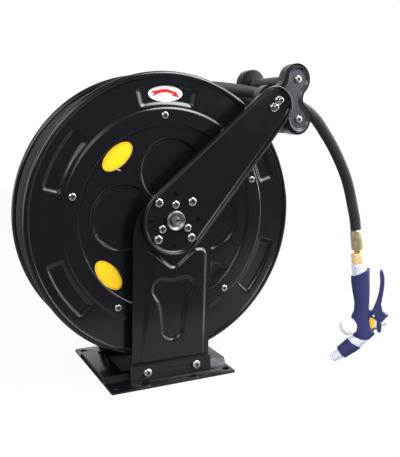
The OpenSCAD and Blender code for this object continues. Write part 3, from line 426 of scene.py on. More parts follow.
    @staticmethod
    def round_edges(obj: bpy.types.Object, radius: float, steps: int, test: Test) -> None:
        """Bevel the edges that pass a test.

        Args:
            obj: object to bevel.
            radius: width of the bevel.
            steps: segments of the bevel.
            test: as for choose.
        """
        if Bench.choose(obj, Kind.EDGE, test):
            with Bench.editing(obj, Kind.EDGE, everything=False):
                bpy.ops.mesh.bevel(
                    offset=radius * MM, segments=steps, profile=0.5, affect="EDGES", clamp_overlap=True
                )

    @staticmethod
    def cut(obj: bpy.types.Object, tool: bpy.types.Object, operation: str = "DIFFERENCE") -> None:
        """Apply a boolean with a tool, which is used up.

        Args:
            obj: object that is changed.
            tool: object that cuts, joins or crosses it.
            operation: kind of boolean.
        """
        step = obj.modifiers.new("cut", "BOOLEAN")
        step.operation = operation
        step.solver = "EXACT"
        step.object = tool
        Bench.apply(obj, step)
        data = tool.data
        bpy.data.objects.remove(tool)
        bpy.data.meshes.remove(data)

    @staticmethod
    def apply(obj: bpy.types.Object, step: bpy.types.Modifier) -> None:
        """Apply one modifier."""
        Bench.pick(obj)
        bpy.ops.object.modifier_apply(modifier=step.name)

    @staticmethod
    def join(obj: bpy.types.Object, *others: bpy.types.Object) -> bpy.types.Object:
        """Join other objects into the first one.

        Args:
            obj: object that stays.
            others: objects that are used up.

        Returns:
            The joined object.
        """
        Bench.pick(obj, *others)
        bpy.ops.object.join()
        return obj

    @staticmethod
    def copied(obj: bpy.types.Object, name: str) -> bpy.types.Object:
        """Copy an object with its own mesh.

        Args:
            obj: object to copy.
            name: name of the copy.

        Returns:
            The copy.
        """
        twin = obj.copy()
        twin.data = obj.data.copy()
        twin.name = twin.data.name = name
        bpy.context.scene.collection.objects.link(twin)
        return twin

    @staticmethod
    def mirrored(obj: bpy.types.Object, name: str, about: float = 0.0) -> bpy.types.Object:
        """Copy an object with its own mesh to the other end of the drum axis.

        Args:
            obj: object to copy.
            name: name of the copy.
            about: place along Y that it is mirrored about.

        Returns:
            The copy.
        """
        twin = Bench.copied(obj, name)
        twin.data.transform(Matrix.Translation((0, 2 * about * MM, 0)) @ Matrix.Scale(-1, 4, (0, 1, 0)))
        with Bench.editing(twin):
            bpy.ops.mesh.normals_make_consistent(inside=False)
        return twin

    @staticmethod
    def soften(obj: bpy.types.Object, angle: float = 35) -> bpy.types.Object:
        """Shade an object smooth up to an angle.

        Args:
            obj: object to shade.
            angle: greatest angle of a smooth edge, in degrees.

        Returns:
            The same object.
        """
        Bench.pick(obj)
        bpy.ops.object.shade_smooth_by_angle(angle=math.radians(angle))
        return obj

    @staticmethod
    def tube(name: str, line: Sequence[Point3], radius: float, rounds: int = 6) -> bpy.types.Object:
        """Draw a path, give it a round bevel and turn it into a mesh.

        Args:
            name: name of the new object.
            line: points of the path.
            radius: radius of the tube.
            rounds: fineness of the round section.

        Returns:
            The closed tube.
        """
        bpy.ops.curve.primitive_nurbs_path_add(location=(0, 0, 0))
        obj = bpy.context.object
        obj.name = name
        curve = obj.data
        curve.splines.clear()
        spline = curve.splines.new("POLY")
        spline.points.add(len(line) - 1)
        flat = np.hstack([np.asarray(line, float) * MM, np.ones((len(line), 1))])
        spline.points.foreach_set("co", flat.ravel())
        curve.dimensions = "3D"
        curve.twist_mode = "MINIMUM"
        curve.bevel_depth = radius * MM
        curve.bevel_resolution = rounds
        curve.use_fill_caps = True
        Bench.pick(obj)
        bpy.ops.object.convert(target="MESH")
        obj = bpy.context.object
        obj.data.name = name
        Bench.tidy(obj)
        return Bench.soften(obj, 45)


def axis_place(origin: Point3, along: Point3) -> Matrix:
    """Matrix that puts the Z axis of a turned piece on a line.

    Args:
        origin: place of the zero of the axis, in millimetres.
        along: direction of the axis.

    Returns:
        The matrix.
    """
    turn = Vector(along).normalized().to_track_quat("Z", "Y").to_matrix().to_4x4()
    return Matrix.Translation(Vector(origin)) @ turn


# ---------------------------------------------------------------------------
# Finishes
# ---------------------------------------------------------------------------


def add_node(
    tree: bpy.types.NodeTree, kind: str, values: dict[str | int, object] | None = None, rule: str = ""
) -> bpy.types.Node:
    """Add a shader node.

    Args:
        tree: nodes that it joins.
        kind: its type, without the prefix that all types have.
        values: values of its inputs.
        rule: operation of a maths node.

    Returns:
        The new node.
    """
    node = tree.nodes.new(f"ShaderNode{kind}")
    if rule:
        node.operation = rule
    for name, value in (values or {}).items():
        node.inputs[name].default_value = value
    return node


@dataclass(frozen=True)
class Finish:
    """Surface of a piece: colour, gloss and fine grain."""

    name: str
    colour: Point3
    roughness: float
    grain: Grain
    metallic: float = 0.0
    specular: float = 0.5
    spread: float = 0.12
    grain_scale: float = 900.0
    grain_depth: float = 0.05
    patch_scale: float = 14.0
    second: Point3 | None = None

    def build(self) -> bpy.types.Material:
        """Make the material.

        Returns:
            The node material of this finish.
        """
        material = bpy.data.materials.new(self.name)
        material.use_nodes = True
        self.fill(material.node_tree, material.node_tree.nodes["Principled BSDF"])
        return material

    def fill(self, tree: bpy.types.NodeTree, shader: bpy.types.Node) -> None:
        """Set a shader node to this finish.

        Args:
            tree: nodes of the material.
            shader: its shader node.
        """
        shader.inputs["Metallic"].default_value = self.metallic
        shader.inputs["Specular IOR Level"].default_value = self.specular
        place = add_node(tree, "TexCoord")
        self._colour(tree, shader, place)
        self._gloss(tree, shader, place)
        self._grain(tree, shader, place)

    def _colour(self, tree: bpy.types.NodeTree, shader: bpy.types.Node, place: bpy.types.Node) -> None:
        """Give the colour its soft patches.

        Args:
            tree: nodes of the material.
            shader: its shader node.
            place: its coordinates.
        """
        patches = add_node(tree, "TexNoise", {"Scale": self.patch_scale, "Detail": 5.0})
        shades = add_node(tree, "ValToRGB")
        shades.color_ramp.elements[0].position = 0.32
        shades.color_ramp.elements[1].position = 0.68
        low = self.second or tuple(c * (1 - self.spread) for c in self.colour)
        high = self.colour if self.second else tuple(min(1.0, c * (1 + self.spread)) for c in self.colour)
        shades.color_ramp.elements[0].color = (*low, 1)
        shades.color_ramp.elements[1].color = (*high, 1)
        tree.links.new(place.outputs["Object"], patches.inputs["Vector"])
        tree.links.new(patches.outputs["Fac"], shades.inputs["Fac"])
        tree.links.new(shades.outputs["Color"], shader.inputs["Base Color"])

    def _gloss(self, tree: bpy.types.NodeTree, shader: bpy.types.Node, place: bpy.types.Node) -> None:
        """Let the roughness wander a little.

        Args:
            tree: nodes of the material.
            shader: its shader node.
            place: its coordinates.
        """
        wear = add_node(tree, "TexNoise", {"Scale": self.patch_scale * 3.1, "Detail": 4.0})
        low, high = self.roughness * 0.88, min(1.0, self.roughness * 1.12)
        span = add_node(tree, "MapRange", {"From Min": 0.3, "From Max": 0.7, "To Min": low, "To Max": high})
        tree.links.new(place.outputs["Object"], wear.inputs["Vector"])
        tree.links.new(wear.outputs["Fac"], span.inputs["Value"])
        tree.links.new(span.outputs["Result"], shader.inputs["Roughness"])

    def _grain(self, tree: bpy.types.NodeTree, shader: bpy.types.Node, place: bpy.types.Node) -> None:
        """Add the fine bumps of the surface.

        Args:
            tree: nodes of the material.
            shader: its shader node.
            place: its coordinates.
        """
        scales = {Grain.BRUSHED: (1.0, 1.0, 0.06), Grain.CLOTH: (1.0, 0.45, 1.0)}
        stretch = add_node(tree, "Mapping", {"Scale": scales.get(self.grain, (1.0, 1.0, 1.0))})
        detail = 2.0 if self.grain is Grain.ORANGE_PEEL else 4.0
        bumps = add_node(tree, "TexNoise", {"Scale": self.grain_scale, "Detail": detail})
        relief = add_node(tree, "Bump", {"Strength": self.grain_depth, "Distance": 0.0004})
        tree.links.new(place.outputs["Object"], stretch.inputs["Vector"])
        tree.links.new(stretch.outputs["Vector"], bumps.inputs["Vector"])
        tree.links.new(bumps.outputs["Fac"], relief.inputs["Height"])
        tree.links.new(relief.outputs["Normal"], shader.inputs["Normal"])


@dataclass(frozen=True)
class SplitFinish:
    """Two finishes on one piece: the second lies behind every plane group.

    Each plane is a direction in the part and an offset in millimetres. A group holds where any of its
    planes does.
    """

    name: str
    first: Finish
    second: Finish
    groups: tuple[tuple[tuple[Point3, float], ...], ...]
    blur: float = 0.06

    def build(self) -> bpy.types.Material:
        """Make the material.

        Returns:
            The node material with both finishes.
        """
        material = bpy.data.materials.new(self.name)
        material.use_nodes = True
        tree = material.node_tree
        shader = tree.nodes["Principled BSDF"]
        self.first.fill(tree, shader)
        other = add_node(tree, "BsdfPrincipled")
        self.second.fill(tree, other)
        mix = add_node(tree, "MixShader")
        tree.links.new(self._mask(tree), mix.inputs["Fac"])
        tree.links.new(shader.outputs[0], mix.inputs[1])
        tree.links.new(other.outputs[0], mix.inputs[2])
        tree.links.new(mix.outputs[0], tree.nodes["Material Output"].inputs["Surface"])
        return material

    def _mask(self, tree: bpy.types.NodeTree) -> bpy.types.NodeSocket:
        """Find the side of the planes that a place is on.

        Args:
            tree: nodes of the material.

        Returns:
            A socket that is 1 where the second finish lies.
        """
        place = add_node(tree, "TexCoord")
        all_of: bpy.types.NodeSocket | None = None
        for group in self.groups:
            any_of: bpy.types.NodeSocket | None = None
            for way, offset in group:
                dot = add_node(tree, "VectorMath", {1: way}, "DOT_PRODUCT")
                tree.links.new(place.outputs["Object"], dot.inputs[0])
                near, far = (offset - self.blur) * MM, (offset + self.blur) * MM
                side = add_node(tree, "MapRange", {"From Min": near, "From Max": far})
                tree.links.new(dot.outputs["Value"], side.inputs["Value"])
                any_of = self._pick(tree, "MAXIMUM", any_of, side.outputs["Result"])
            all_of = self._pick(tree, "MINIMUM", all_of, any_of)
        return all_of

    @staticmethod
    def _pick(
        tree: bpy.types.NodeTree, rule: str, one: bpy.types.NodeSocket | None, two: bpy.types.NodeSocket
    ) -> bpy.types.NodeSocket:
        """Take the larger or smaller of two sockets.

        Args:
            tree: nodes of the material.
            rule: name of the operation.
            one: first socket, if there is one yet.
            two: second socket.

        Returns:
            The socket of the choice.
        """
        if one is None:
            return two
        node = add_node(tree, "Math", rule=rule)
        tree.links.new(one, node.inputs[0])
        tree.links.new(two, node.inputs[1])
        return node.outputs[0]


def gun_plane(slope: Point2, at: Point2) -> tuple[Point3, float]:
    """Plane across the gun, as a direction in the part and an offset.

    Args:
        slope: direction that the plane faces, to the gun's rear and up.
        at: place on it in the gun plane, from the end of the hose.

    Returns:
        The direction and the offset in millimetres.
    """
    long = math.hypot(*slope)
    back, up = slope[0] / long, slope[1] / long
    way = (GUN_BACK[0] * back, GUN_BACK[1] * back, up)
    point = (HOSE_END[0] + GUN_BACK[0] * at[0], HOSE_END[1] + GUN_BACK[1] * at[0], HOSE_END[2] + at[1])
    return way, sum(a * b for a, b in zip(way, point))


class Coat(Enum):
    """Finishes of the reel."""

    BLACK_STEEL = Finish("black_powder_coat", (0.0030, 0.0032, 0.0042), 0.21, Grain.ORANGE_PEEL)
    CAST_BLACK = Finish(
        "cast_black_coat", (0.020, 0.021, 0.027), 0.31, Grain.ORANGE_PEEL, specular=0.6, grain_depth=0.02
    )
    # Darker copy of the cast black coat for the far casting: painted shade standing in for the shadow it lies
    # in.
    CAST_SHADE = Finish(
        "cast_black_painted_shade_coat",
        (0.0035, 0.0037, 0.0048),
        0.2,
        Grain.ORANGE_PEEL,
        specular=0.35,
        grain_depth=0.02,
    )
    DARK_STEEL = Finish("dark_satin_steel_and_painted_socket_shade", (0.05, 0.05, 0.054), 0.4, Grain.BRUSHED, specular=0.4)
    BRIGHT_ZINC = Finish(
        "bright_zinc_plate", (0.78, 0.77, 0.70), 0.22, Grain.BRUSHED, metallic=1.0, second=(0.6, 0.58, 0.48)
    )
    BOLT_ZINC = Finish(
        "zinc_bolt_plate",
        (0.66, 0.68, 0.64),
        0.24,
        Grain.BRUSHED,
        metallic=1.0,
        second=(0.52, 0.54, 0.50),
        patch_scale=60.0,
        grain_depth=0.015,
    )
    BARE_STEEL = Finish("turned_steel", (0.40, 0.41, 0.41), 0.34, Grain.BRUSHED, metallic=1.0)
    GREY_ZINC = Finish("dull_zinc_plate", (0.22, 0.23, 0.23), 0.42, Grain.BRUSHED, metallic=1.0)
    SPRING_STEEL = Finish("oiled_spring_steel", (0.22, 0.23, 0.25), 0.3, Grain.BRUSHED, metallic=1.0)
    ROLLER_GREY = Finish("satin_roller_steel", (0.10, 0.105, 0.1), 0.4, Grain.BRUSHED, metallic=0.6)
    ROLLER_BLACK = Finish("black_roller_nylon", (0.012, 0.012, 0.013), 0.42, Grain.MOULDED, specular=0.3)
    BRASS = Finish("machined_brass", (0.62, 0.43, 0.17), 0.28, Grain.BRUSHED, metallic=1.0)
    NUT_BRASS = Finish(
        "yellow_zinc_nut",
        (1.0, 0.72, 0.36),
        0.26,
        Grain.BRUSHED,
        metallic=0.35,
        second=(0.95, 0.64, 0.30),
        grain_depth=0.01,
    )
    FERRULE = Finish(
        "mottled_zinc_ferrule",
        (0.66, 0.60, 0.42),
        0.34,
        Grain.BRUSHED,
        metallic=0.8,
        second=(0.52, 0.37, 0.18),
        patch_scale=160.0,
    )
    SEAL_RUBBER = Finish("seal_rubber", (0.014, 0.014, 0.014), 0.6, Grain.MOULDED, specular=0.3)
    HOSE_RUBBER = Finish(
        "cloth_wrapped_rubber",
        (0.021, 0.022, 0.024),
        0.64,
        Grain.CLOTH,
        specular=0.18,
        grain_scale=1500.0,
        grain_depth=0.1,
    )
    CHROME = Finish(
        "polished_chrome", (0.80, 0.82, 0.99), 0.12, Grain.POLISHED, metallic=0.3, spread=0.03, grain_depth=0.01
    )
    NAVY = Finish(
        "navy_soft_grip", (0.036, 0.042, 0.128), 0.5, Grain.MOULDED, specular=0.1, spread=0.06, grain_depth=0.12
    )
    DOME = Finish("white_chrome_dome", (0.97, 0.97, 0.98), 0.2, Grain.POLISHED, spread=0.02, grain_depth=0.01)
    GUN_SPLIT = SplitFinish(
        "navy_grip_with_chrome_throat",
        NAVY,
        CHROME,
        (
            (gun_plane((-0.241, -1.0), (24.0, -211.6)), gun_plane((-0.016, -1.0), (24.0, -211.6))),
            (gun_plane((0.4856, 0.8742), (24.3, -228.9)),),
        ),
    )
    PALE_TIP = Finish(
        "pale_lilac_tip", (0.84, 0.86, 1.0), 0.16, Grain.POLISHED, metallic=0.08, spread=0.02, grain_depth=0.01
    )
    YELLOW = Finish("yellow_moulded_lock", (0.93, 0.5, 0.035), 0.4, Grain.MOULDED, specular=0.3, spread=0.05)
    LABEL_YELLOW = Finish(
        "yellow_label_film", (0.86, 0.48, 0.012), 0.36, Grain.MOULDED, specular=0.25, spread=0.04
    )
    LABEL_BORDER = Finish(
        "ochre_label_border", (0.42, 0.22, 0.01), 0.4, Grain.MOULDED, specular=0.25, spread=0.05
    )
    LABEL_WHITE = Finish(
        "white_label_film", (0.82, 0.81, 0.86), 0.36, Grain.MOULDED, specular=0.25, spread=0.02
    )
    LABEL_RED = Finish("red_arrow_print", (0.80, 0.018, 0.012), 0.4, Grain.MOULDED, specular=0.2, spread=0.05)


SLOT_COATS = {
    "black_steel": Coat.BLACK_STEEL,
    "bright_zinc": Coat.BRIGHT_ZINC,
    "dark_steel": Coat.DARK_STEEL,
    "bare_steel": Coat.BARE_STEEL,
    "grey_zinc": Coat.GREY_ZINC,
    "spring_steel": Coat.SPRING_STEEL,
    "cast_guide": Coat.CAST_BLACK,
    "roller_grey": Coat.ROLLER_GREY,
    "roller_black": Coat.ROLLER_BLACK,
    "brass": Coat.BRASS,
    "seal_rubber": Coat.SEAL_RUBBER,
    "hose_rubber": Coat.HOSE_RUBBER,
    "ferrule_zinc": Coat.FERRULE,
    "nut_brass": Coat.NUT_BRASS,
    "chrome_trim": Coat.CHROME,
    "navy_grip": Coat.NAVY,
    "yellow_lock": Coat.YELLOW,
}


class PaintShop:
    """Keeps one material for each finish and puts it on pieces."""

    def __init__(self) -> None:
        """Start with no materials."""
        self._made: dict[Coat, bpy.types.Material] = {}

    def material(self, coat: Coat) -> bpy.types.Material:
        """Find the material of a finish, which is made once.

        Args:
            coat: the finish.

        Returns:
            Its material.
        """
        if coat not in self._made:
            self._made[coat] = coat.value.build()
        return self._made[coat]

    def dress(self, obj: bpy.types.Object, coat: Coat) -> bpy.types.Object:
        """Give a whole piece one finish.

        Args:
            obj: piece to dress.
            coat: its finish.

        Returns:
            The same piece.
        """
        obj.data.materials.clear()
        obj.data.materials.append(self.material(coat))
        return obj

    def finished(
        self, obj: bpy.types.Object, coat: Coat, body: str, slot: str = "", nodes: Sequence[str] = ()
    ) -> bpy.types.Object:
        """Dress a new piece and hand it to the frame.

        Args:
            obj: new piece, in place.
            coat: its finish.
            body: CAD body that it rides on.
            slot: material slot of the record, if it has one; not used.
            nodes: CAD nodes that it stands for.

        Returns:
            The same piece.
        """
        if not obj.data.materials:
            self.dress(obj, coat)
        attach(obj, body)
        if nodes:
            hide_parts(*nodes)
        LOG.info("%s: %d faces, rides %s", obj.name, len(obj.data.polygons), body)
        return obj


# ---------------------------------------------------------------------------
# Drum
# ---------------------------------------------------------------------------


@dataclass
class DrumFlange:
    """Pressed steel flange of the drum with a rolled rim.

    A step or an edge is the radius where it starts and its width, a ramp is how far outside the outline
    a wall starts and its width.
    """

    shop: PaintShop
    side: Side = Side.FRONT
    axis_z: float = AXIS_Z
    centre_y: float = DRUM_Y
    rim_r: float = 219.0
    bead_r: float = 5.0
    half_w: float = 44.0
    bore_r: float = 17.05
    sheet: float = 1.5
    disc: float = 40.0
    seat: float = 43.0
    ring: float = 41.0
    seat_step: Point2 = (138.6, 3.4)
    ring_step: Point2 = (164.0, 3.2)
    press_edge: Point2 = (208.0, 2.0)
    sector_half: float = 14.8
    sector_r: Point2 = (169.6, 199.6)
    sector_mid: float = 184.5
    sector_end: float = 8.5
    sector_wall: float = 6.8
    sector_depth: float = 3.4
    round_ring: float = 72.0
    round_r: float = 50.0
    round_ramp: Point2 = (0.8, 4.6)
    round_depth: float = 3.0
    pad_r: Point2 = (94.0, 136.0)
    pad_half: float = 17.0
    pad_corner: float = 7.0
    pad_ramp: Point2 = (0.4, 3.6)
    pad_depth: float = 2.2
    steps: int = 600
    pad: list[Point2] = field(default_factory=list)

    def __post_init__(self) -> None:
        """Work out the outline of the three-cornered pads."""
        near, far = self.pad_r
        wide = far * math.tan(math.radians(self.pad_half))
        self.pad = rounded([(near, 0), (far, -wide), (far, wide)], [self.pad_corner] * 3)

    def base_face(self, r: np.ndarray) -> np.ndarray:
        """Height of the turned outer face at a radius."""
        up = ramp(r - self.seat_step[0], self.seat_step[1]) * (self.seat - self.disc)
        return self.disc + up + ramp(r - self.ring_step[0], self.ring_step[1]) * (self.ring - self.seat)

    def pressing(self, x: np.ndarray, z: np.ndarray) -> np.ndarray:
        """Depth of the pressed hollows.

        Args:
            x: places across the drum from its axis.
            z: heights from the axis.

        Returns:
            How far each place is pressed in.
        """
        r = np.hypot(x, z)
        angle = np.degrees(np.arctan2(z, x))
        depth = np.zeros_like(r)
        for first in range(32, 392, 60):
            off = np.abs((angle - first + 180) % 360 - 180)
            ends = ramp(np.radians(self.sector_half - off) * self.sector_mid, self.sector_end)
            walls = ramp(np.minimum(r - self.sector_r[0], self.sector_r[1] - r), self.sector_wall)
            depth = np.maximum(depth, self.sector_depth * ends * walls)
        for first in range(87, 447, 90):
            a = math.radians(first)
            middle = (self.round_ring * math.cos(a), self.round_ring * math.sin(a))
            inside = self.round_r - np.hypot(x - middle[0], z - middle[1])
            depth = np.maximum(depth, self.round_depth * ramp(inside + self.round_ramp[0], self.round_ramp[1]))
        for first in range(42, 402, 90):
            a = math.radians(first)
            local = np.stack([x * math.cos(a) + z * math.sin(a), z * math.cos(a) - x * math.sin(a)], axis=1)
            inside = inside_distance(local, self.pad)
            depth = np.maximum(depth, self.pad_depth * ramp(inside + self.pad_ramp[0], self.pad_ramp[1]))
        return depth

    def face_y(self, x: np.ndarray, z: np.ndarray) -> np.ndarray:
        """Place along Y of the outer face at places given from the axis."""
        face = self.base_face(np.hypot(x, z)) - self.pressing(x, z)
        return self.centre_y + self.side.value * face

    def profile(self) -> list[Point2]:
        """Draw the closed section of the flange.

        Returns:
            Radius and height along the outer face, the rolled rim and the inner face.
        """
        outer_r = np.concatenate([np.linspace(self.bore_r, 136.5, 50), np.linspace(137.6, 209.3, 60)])
        outer = [(r, s) for r, s in zip(outer_r, self.base_face(outer_r))]
        rim = (self.rim_r - self.bead_r, self.half_w - self.bead_r)
        bead = arc(rim, self.bead_r, 154, -184, 26)
        inner_r = np.concatenate([np.linspace(208.8, 139, 16), np.linspace(132, self.bore_r, 8)])
        inner = [(r, s - self.sheet) for r, s in zip(inner_r, self.base_face(inner_r))]
        return outer + bead + inner

    def build(self) -> None:
        """Spin the section, press the hollows in and copy the sheet to the rear."""
        obj = Bench.turned(
            "front_flange_sheet",
            self.profile(),
            axis_place((0, self.centre_y, self.axis_z), (0, self.side.value, 0)),
            self.steps,
            40,
        )
        points = Bench.points(obj) / MM
        x, z = points[:, 0], points[:, 2] - self.axis_z
        keep = ramp(self.press_edge[0] - np.hypot(x, z), self.press_edge[1])
        points[:, 1] -= self.side.value * self.pressing(x, z) * keep
        Bench.set_points(obj, points)
        Bench.soften(obj, 40)
        twin = Bench.soften(Bench.mirrored(obj, "rear_flange_sheet", self.centre_y), 40)
        self.shop.finished(obj, Coat.BLACK_STEEL, "drum", "black_steel", ["front_flange"])
        self.shop.finished(twin, Coat.BLACK_STEEL, "drum", "black_steel", ["rear_flange"])


@dataclass
class FlangeLabels:
    """Bare oval labels and the red turning arrow on the front flange."""

    shop: PaintShop
    flange: DrumFlange
    film: float = 0.5
    print_film: float = 0.75
    line_w: float = 0.9
    line_in: float = 1.5
    white_centre: Point2 = (-7.8, 186.0)
    white_half: Point2 = (27.6, 11.3)
    yellow_centres: tuple[Point2, Point2] = ((-82.8, 93.6), (-95.8, -81.0))
    yellow_half: Point2 = (27.6, 14.2)
    tilt: float = 2.4
    sides: int = 96

    def laid(
        self, name: str, points: np.ndarray, faces: list[tuple[int, ...]], lift: float, flat: bool = False
    ) -> bpy.types.Object:
        """Lay a patch on the pressed face, or flat across it.

        Args:
            name: name of the piece.
            points: places from the drum axis.
            faces: faces of the patch.
            lift: height over the face.
            flat: whether it lies flat at the height of the disc.

        Returns:
            The patch.
        """
        data = bpy.data.meshes.new(name)
        y = self.flange.face_y(points[:, 0], points[:, 1])
        if flat:
            y = np.full(len(points), self.flange.centre_y + self.flange.side.value * self.flange.disc)
        y = y + self.flange.side.value * lift
        places = np.stack([points[:, 0], y, points[:, 1] + self.flange.axis_z], axis=1) * MM
        data.from_pydata(places.tolist(), [], faces)
        obj = bpy.data.objects.new(name, data)
        bpy.context.scene.collection.objects.link(obj)
        Bench.tidy(obj)
        Bench.flip_faces(obj, lambda middle, normal, angle: normal.y * self.flange.side.value < 0)
        return Bench.soften(obj, 60)

    def oval(
        self,
        name: str,
        centre: Point2,
        half: Point2,
        turn: float,
        lift: float,
        width: float = 0.0,
        flat: bool = False,
    ) -> bpy.types.Object:
        """Make an oval patch, or an oval line, of rings of points.

        Args:
            name: name of the piece.
            centre: middle of the oval from the drum axis.
            half: half length and half height.
            turn: angle of the long axis in radians.
            lift: height over the face.
            width: width of an oval line, zero for a full patch.
            flat: whether it lies flat at the height of the disc.

        Returns:
            The oval piece.
        """
        sides = self.sides
        reach = np.linspace(width, 0.0, 3) if width else np.linspace(half[1], 0.0, 13)
        points: list[Point2] = []
        for less in reach:
            for a in np.linspace(0, 2 * math.pi, sides, endpoint=False):
                points.append(((half[0] - less) * math.cos(a), (half[1] - less) * math.sin(a)))
        c, s = math.cos(turn), math.sin(turn)
        places = np.asarray(points) @ np.array([[c, s], [-s, c]]) + np.asarray(centre)
        faces: list[tuple[int, ...]] = []
        for k in range(len(reach) - 1):
            a, b = k * sides, (k + 1) * sides
            for j in range(sides):
                n = (j + 1) % sides
                faces.append((a + j, b + j, b + n, a + n))
        return self.laid(name, places, faces, lift, flat)

    def arrow(self) -> bpy.types.Object:
        """Make the curved arrow with a notched tail.

        Returns:
            The arrow piece.
        """
        top = [(-20.6, 1.5), (-14.0, 2.6), (-5.6, 5.6), (2.6, 6.1), (9.9, 4.3), (12.0, 3.4)]
        low = [(-18.4, -5.7), (-11.8, -1.6), (-5.6, 0.8), (2.6, 2.0), (8.9, 0.7), (10.4, 0.2)]
        head = [(12.4, 5.0), (19.7, -3.3), (8.0, -1.8)]
        places = np.asarray(top + low + head + [(-15.6, -0.8)]) * np.array([1.2, 1.15])
        tilt = math.radians(-self.tilt)
        c, s = math.cos(tilt), math.sin(tilt)
        flat = places @ np.array([[c, -s], [s, c]]).T + np.asarray(self.white_centre)
        faces: list[tuple[int, ...]] = [(0, 15, 1), (15, 7, 1), (15, 6, 7)]
        faces += [(k, k + 6, k + 7, k + 1) for k in range(1, 5)]
        faces += [(12, 5, 13), (5, 11, 13), (11, 14, 13)]
        return self.laid("turning_arrow", flat, faces, self.print_film)

    def build(self) -> None:
        """Lay all labels on the front flange."""
        tilt = math.radians(self.tilt)
        white = self.oval("white_oval", self.white_centre, self.white_half, tilt, self.film)
        self.shop.finished(white, Coat.LABEL_WHITE, "drum")
        self.shop.finished(self.arrow(), Coat.LABEL_RED, "drum")
        for name, centre in zip(("upper", "lower"), self.yellow_centres):
            turn = math.atan2(centre[1], centre[0]) + math.pi / 2
            film = self.oval(f"{name}_yellow_oval", centre, self.yellow_half, turn, self.film, flat=True)
            self.shop.finished(film, Coat.LABEL_YELLOW, "drum")
            half = (self.yellow_half[0] - self.line_in, self.yellow_half[1] - self.line_in)
            line = self.oval(f"{name}_oval_line", centre, half, turn, self.print_film, self.line_w, True)
            self.shop.finished(line, Coat.LABEL_BORDER, "drum")


# ---------------------------------------------------------------------------
# Frame
# ---------------------------------------------------------------------------


@dataclass
class Post:
    """Pressed sheet post with a raised panel and a bone-shaped hollow.

    A ramp is how far outside the outline, or how high, a wall starts and its width.
    """

    shop: PaintShop
    half_w: float = 65.0
    foot_z: float = 3.2
    crown_z: float = 225.0
    front_y: float = -75.0
    sheet: float = 3.0
    rise: float = 3.5
    panel_ramp: Point2 = (1.6, 6.4)
    bone_ramp: Point2 = (2.2, 6.6)
    foot_ramp: Point2 = (30.0, 6.0)
    crown_share: float = 0.004
    edge: float = 0.7
    columns: int = 120
    rows: int = 230

    def panel(self) -> list[Point2]:
        """Outline of the raised panel."""
        corners = [(-56, 20), (56, 20), (56, 205), (34.7, 205), (0, 176.25), (-34.7, 205), (-56, 205)]
        return rounded(corners, [0, 0, 11, 11, 12, 11, 11])

    def bone(self) -> list[Point2]:
        """Draw the bone-shaped hollow.

        Returns:
            Its closed outline.
        """
        left = arc((-19, 145.75), 17, 96, 205, 12) + [(-25.5, 125), (-21, 110)]
        low = arc((0, 82), 19, 178, 362, 20)
        right = [(21, 110), (25.5, 125)] + arc((19, 145.75), 17, -25, 84, 12)
        return left + low + right + [(8, 160.6), (0, 159.6), (-8, 160.6)]

    def build(self) -> None:
        """Press both posts out of a grid of points and give them thickness."""
        obj = Bench.grid("front_post_sheet", self.columns, self.rows)
        points = Bench.points(obj)
        across, up = points[:, 0], (points[:, 1] + 1) / 2
        straight = (self.crown_z - self.foot_z) / (self.crown_z - self.foot_z + self.half_w * math.pi / 2)
        lift = np.clip((up - straight) / (1 - straight), 0, 1) * math.pi / 2
        z = np.where(up < straight, self.foot_z + up / straight * (self.crown_z - self.foot_z), 0)
        z = np.where(up < straight, z, self.crown_z + self.half_w * np.sin(lift))
        x = across * self.half_w * np.maximum(np.cos(lift), self.crown_share)
        flat = np.stack([x, z], axis=1)
        panel, bone = inside_distance(flat, self.panel()), inside_distance(flat, self.bone())
        height = self.rise * ramp(panel + self.panel_ramp[0], self.panel_ramp[1])
        height -= self.rise * ramp(bone + self.bone_ramp[0], self.bone_ramp[1])
        height = np.maximum(height, 0) * ramp(z - self.foot_ramp[0], self.foot_ramp[1])
        Bench.set_points(obj, np.stack([x, self.front_y - height, z], axis=1))
        Bench.tidy(obj)
        Bench.flip_faces(obj, lambda middle, normal, angle: normal.y > 0)
        thick = obj.modifiers.new("sheet", "SOLIDIFY")
        thick.thickness = self.sheet * MM
        thick.offset = -1.0
        Bench.apply(obj, thick)
        Bench.tidy(obj)
        Bench.round_edges(obj, self.edge, 2, lambda middle, direction, angle: angle > 60)
        Bench.soften(obj, 40)
        twin = Bench.soften(Bench.mirrored(obj, "rear_post_sheet"), 40)
        self.shop.finished(obj, Coat.BLACK_STEEL, "frame", "black_steel", ["front_post"])
        self.shop.finished(twin, Coat.BLACK_STEEL, "frame", "black_steel", ["rear_post"])


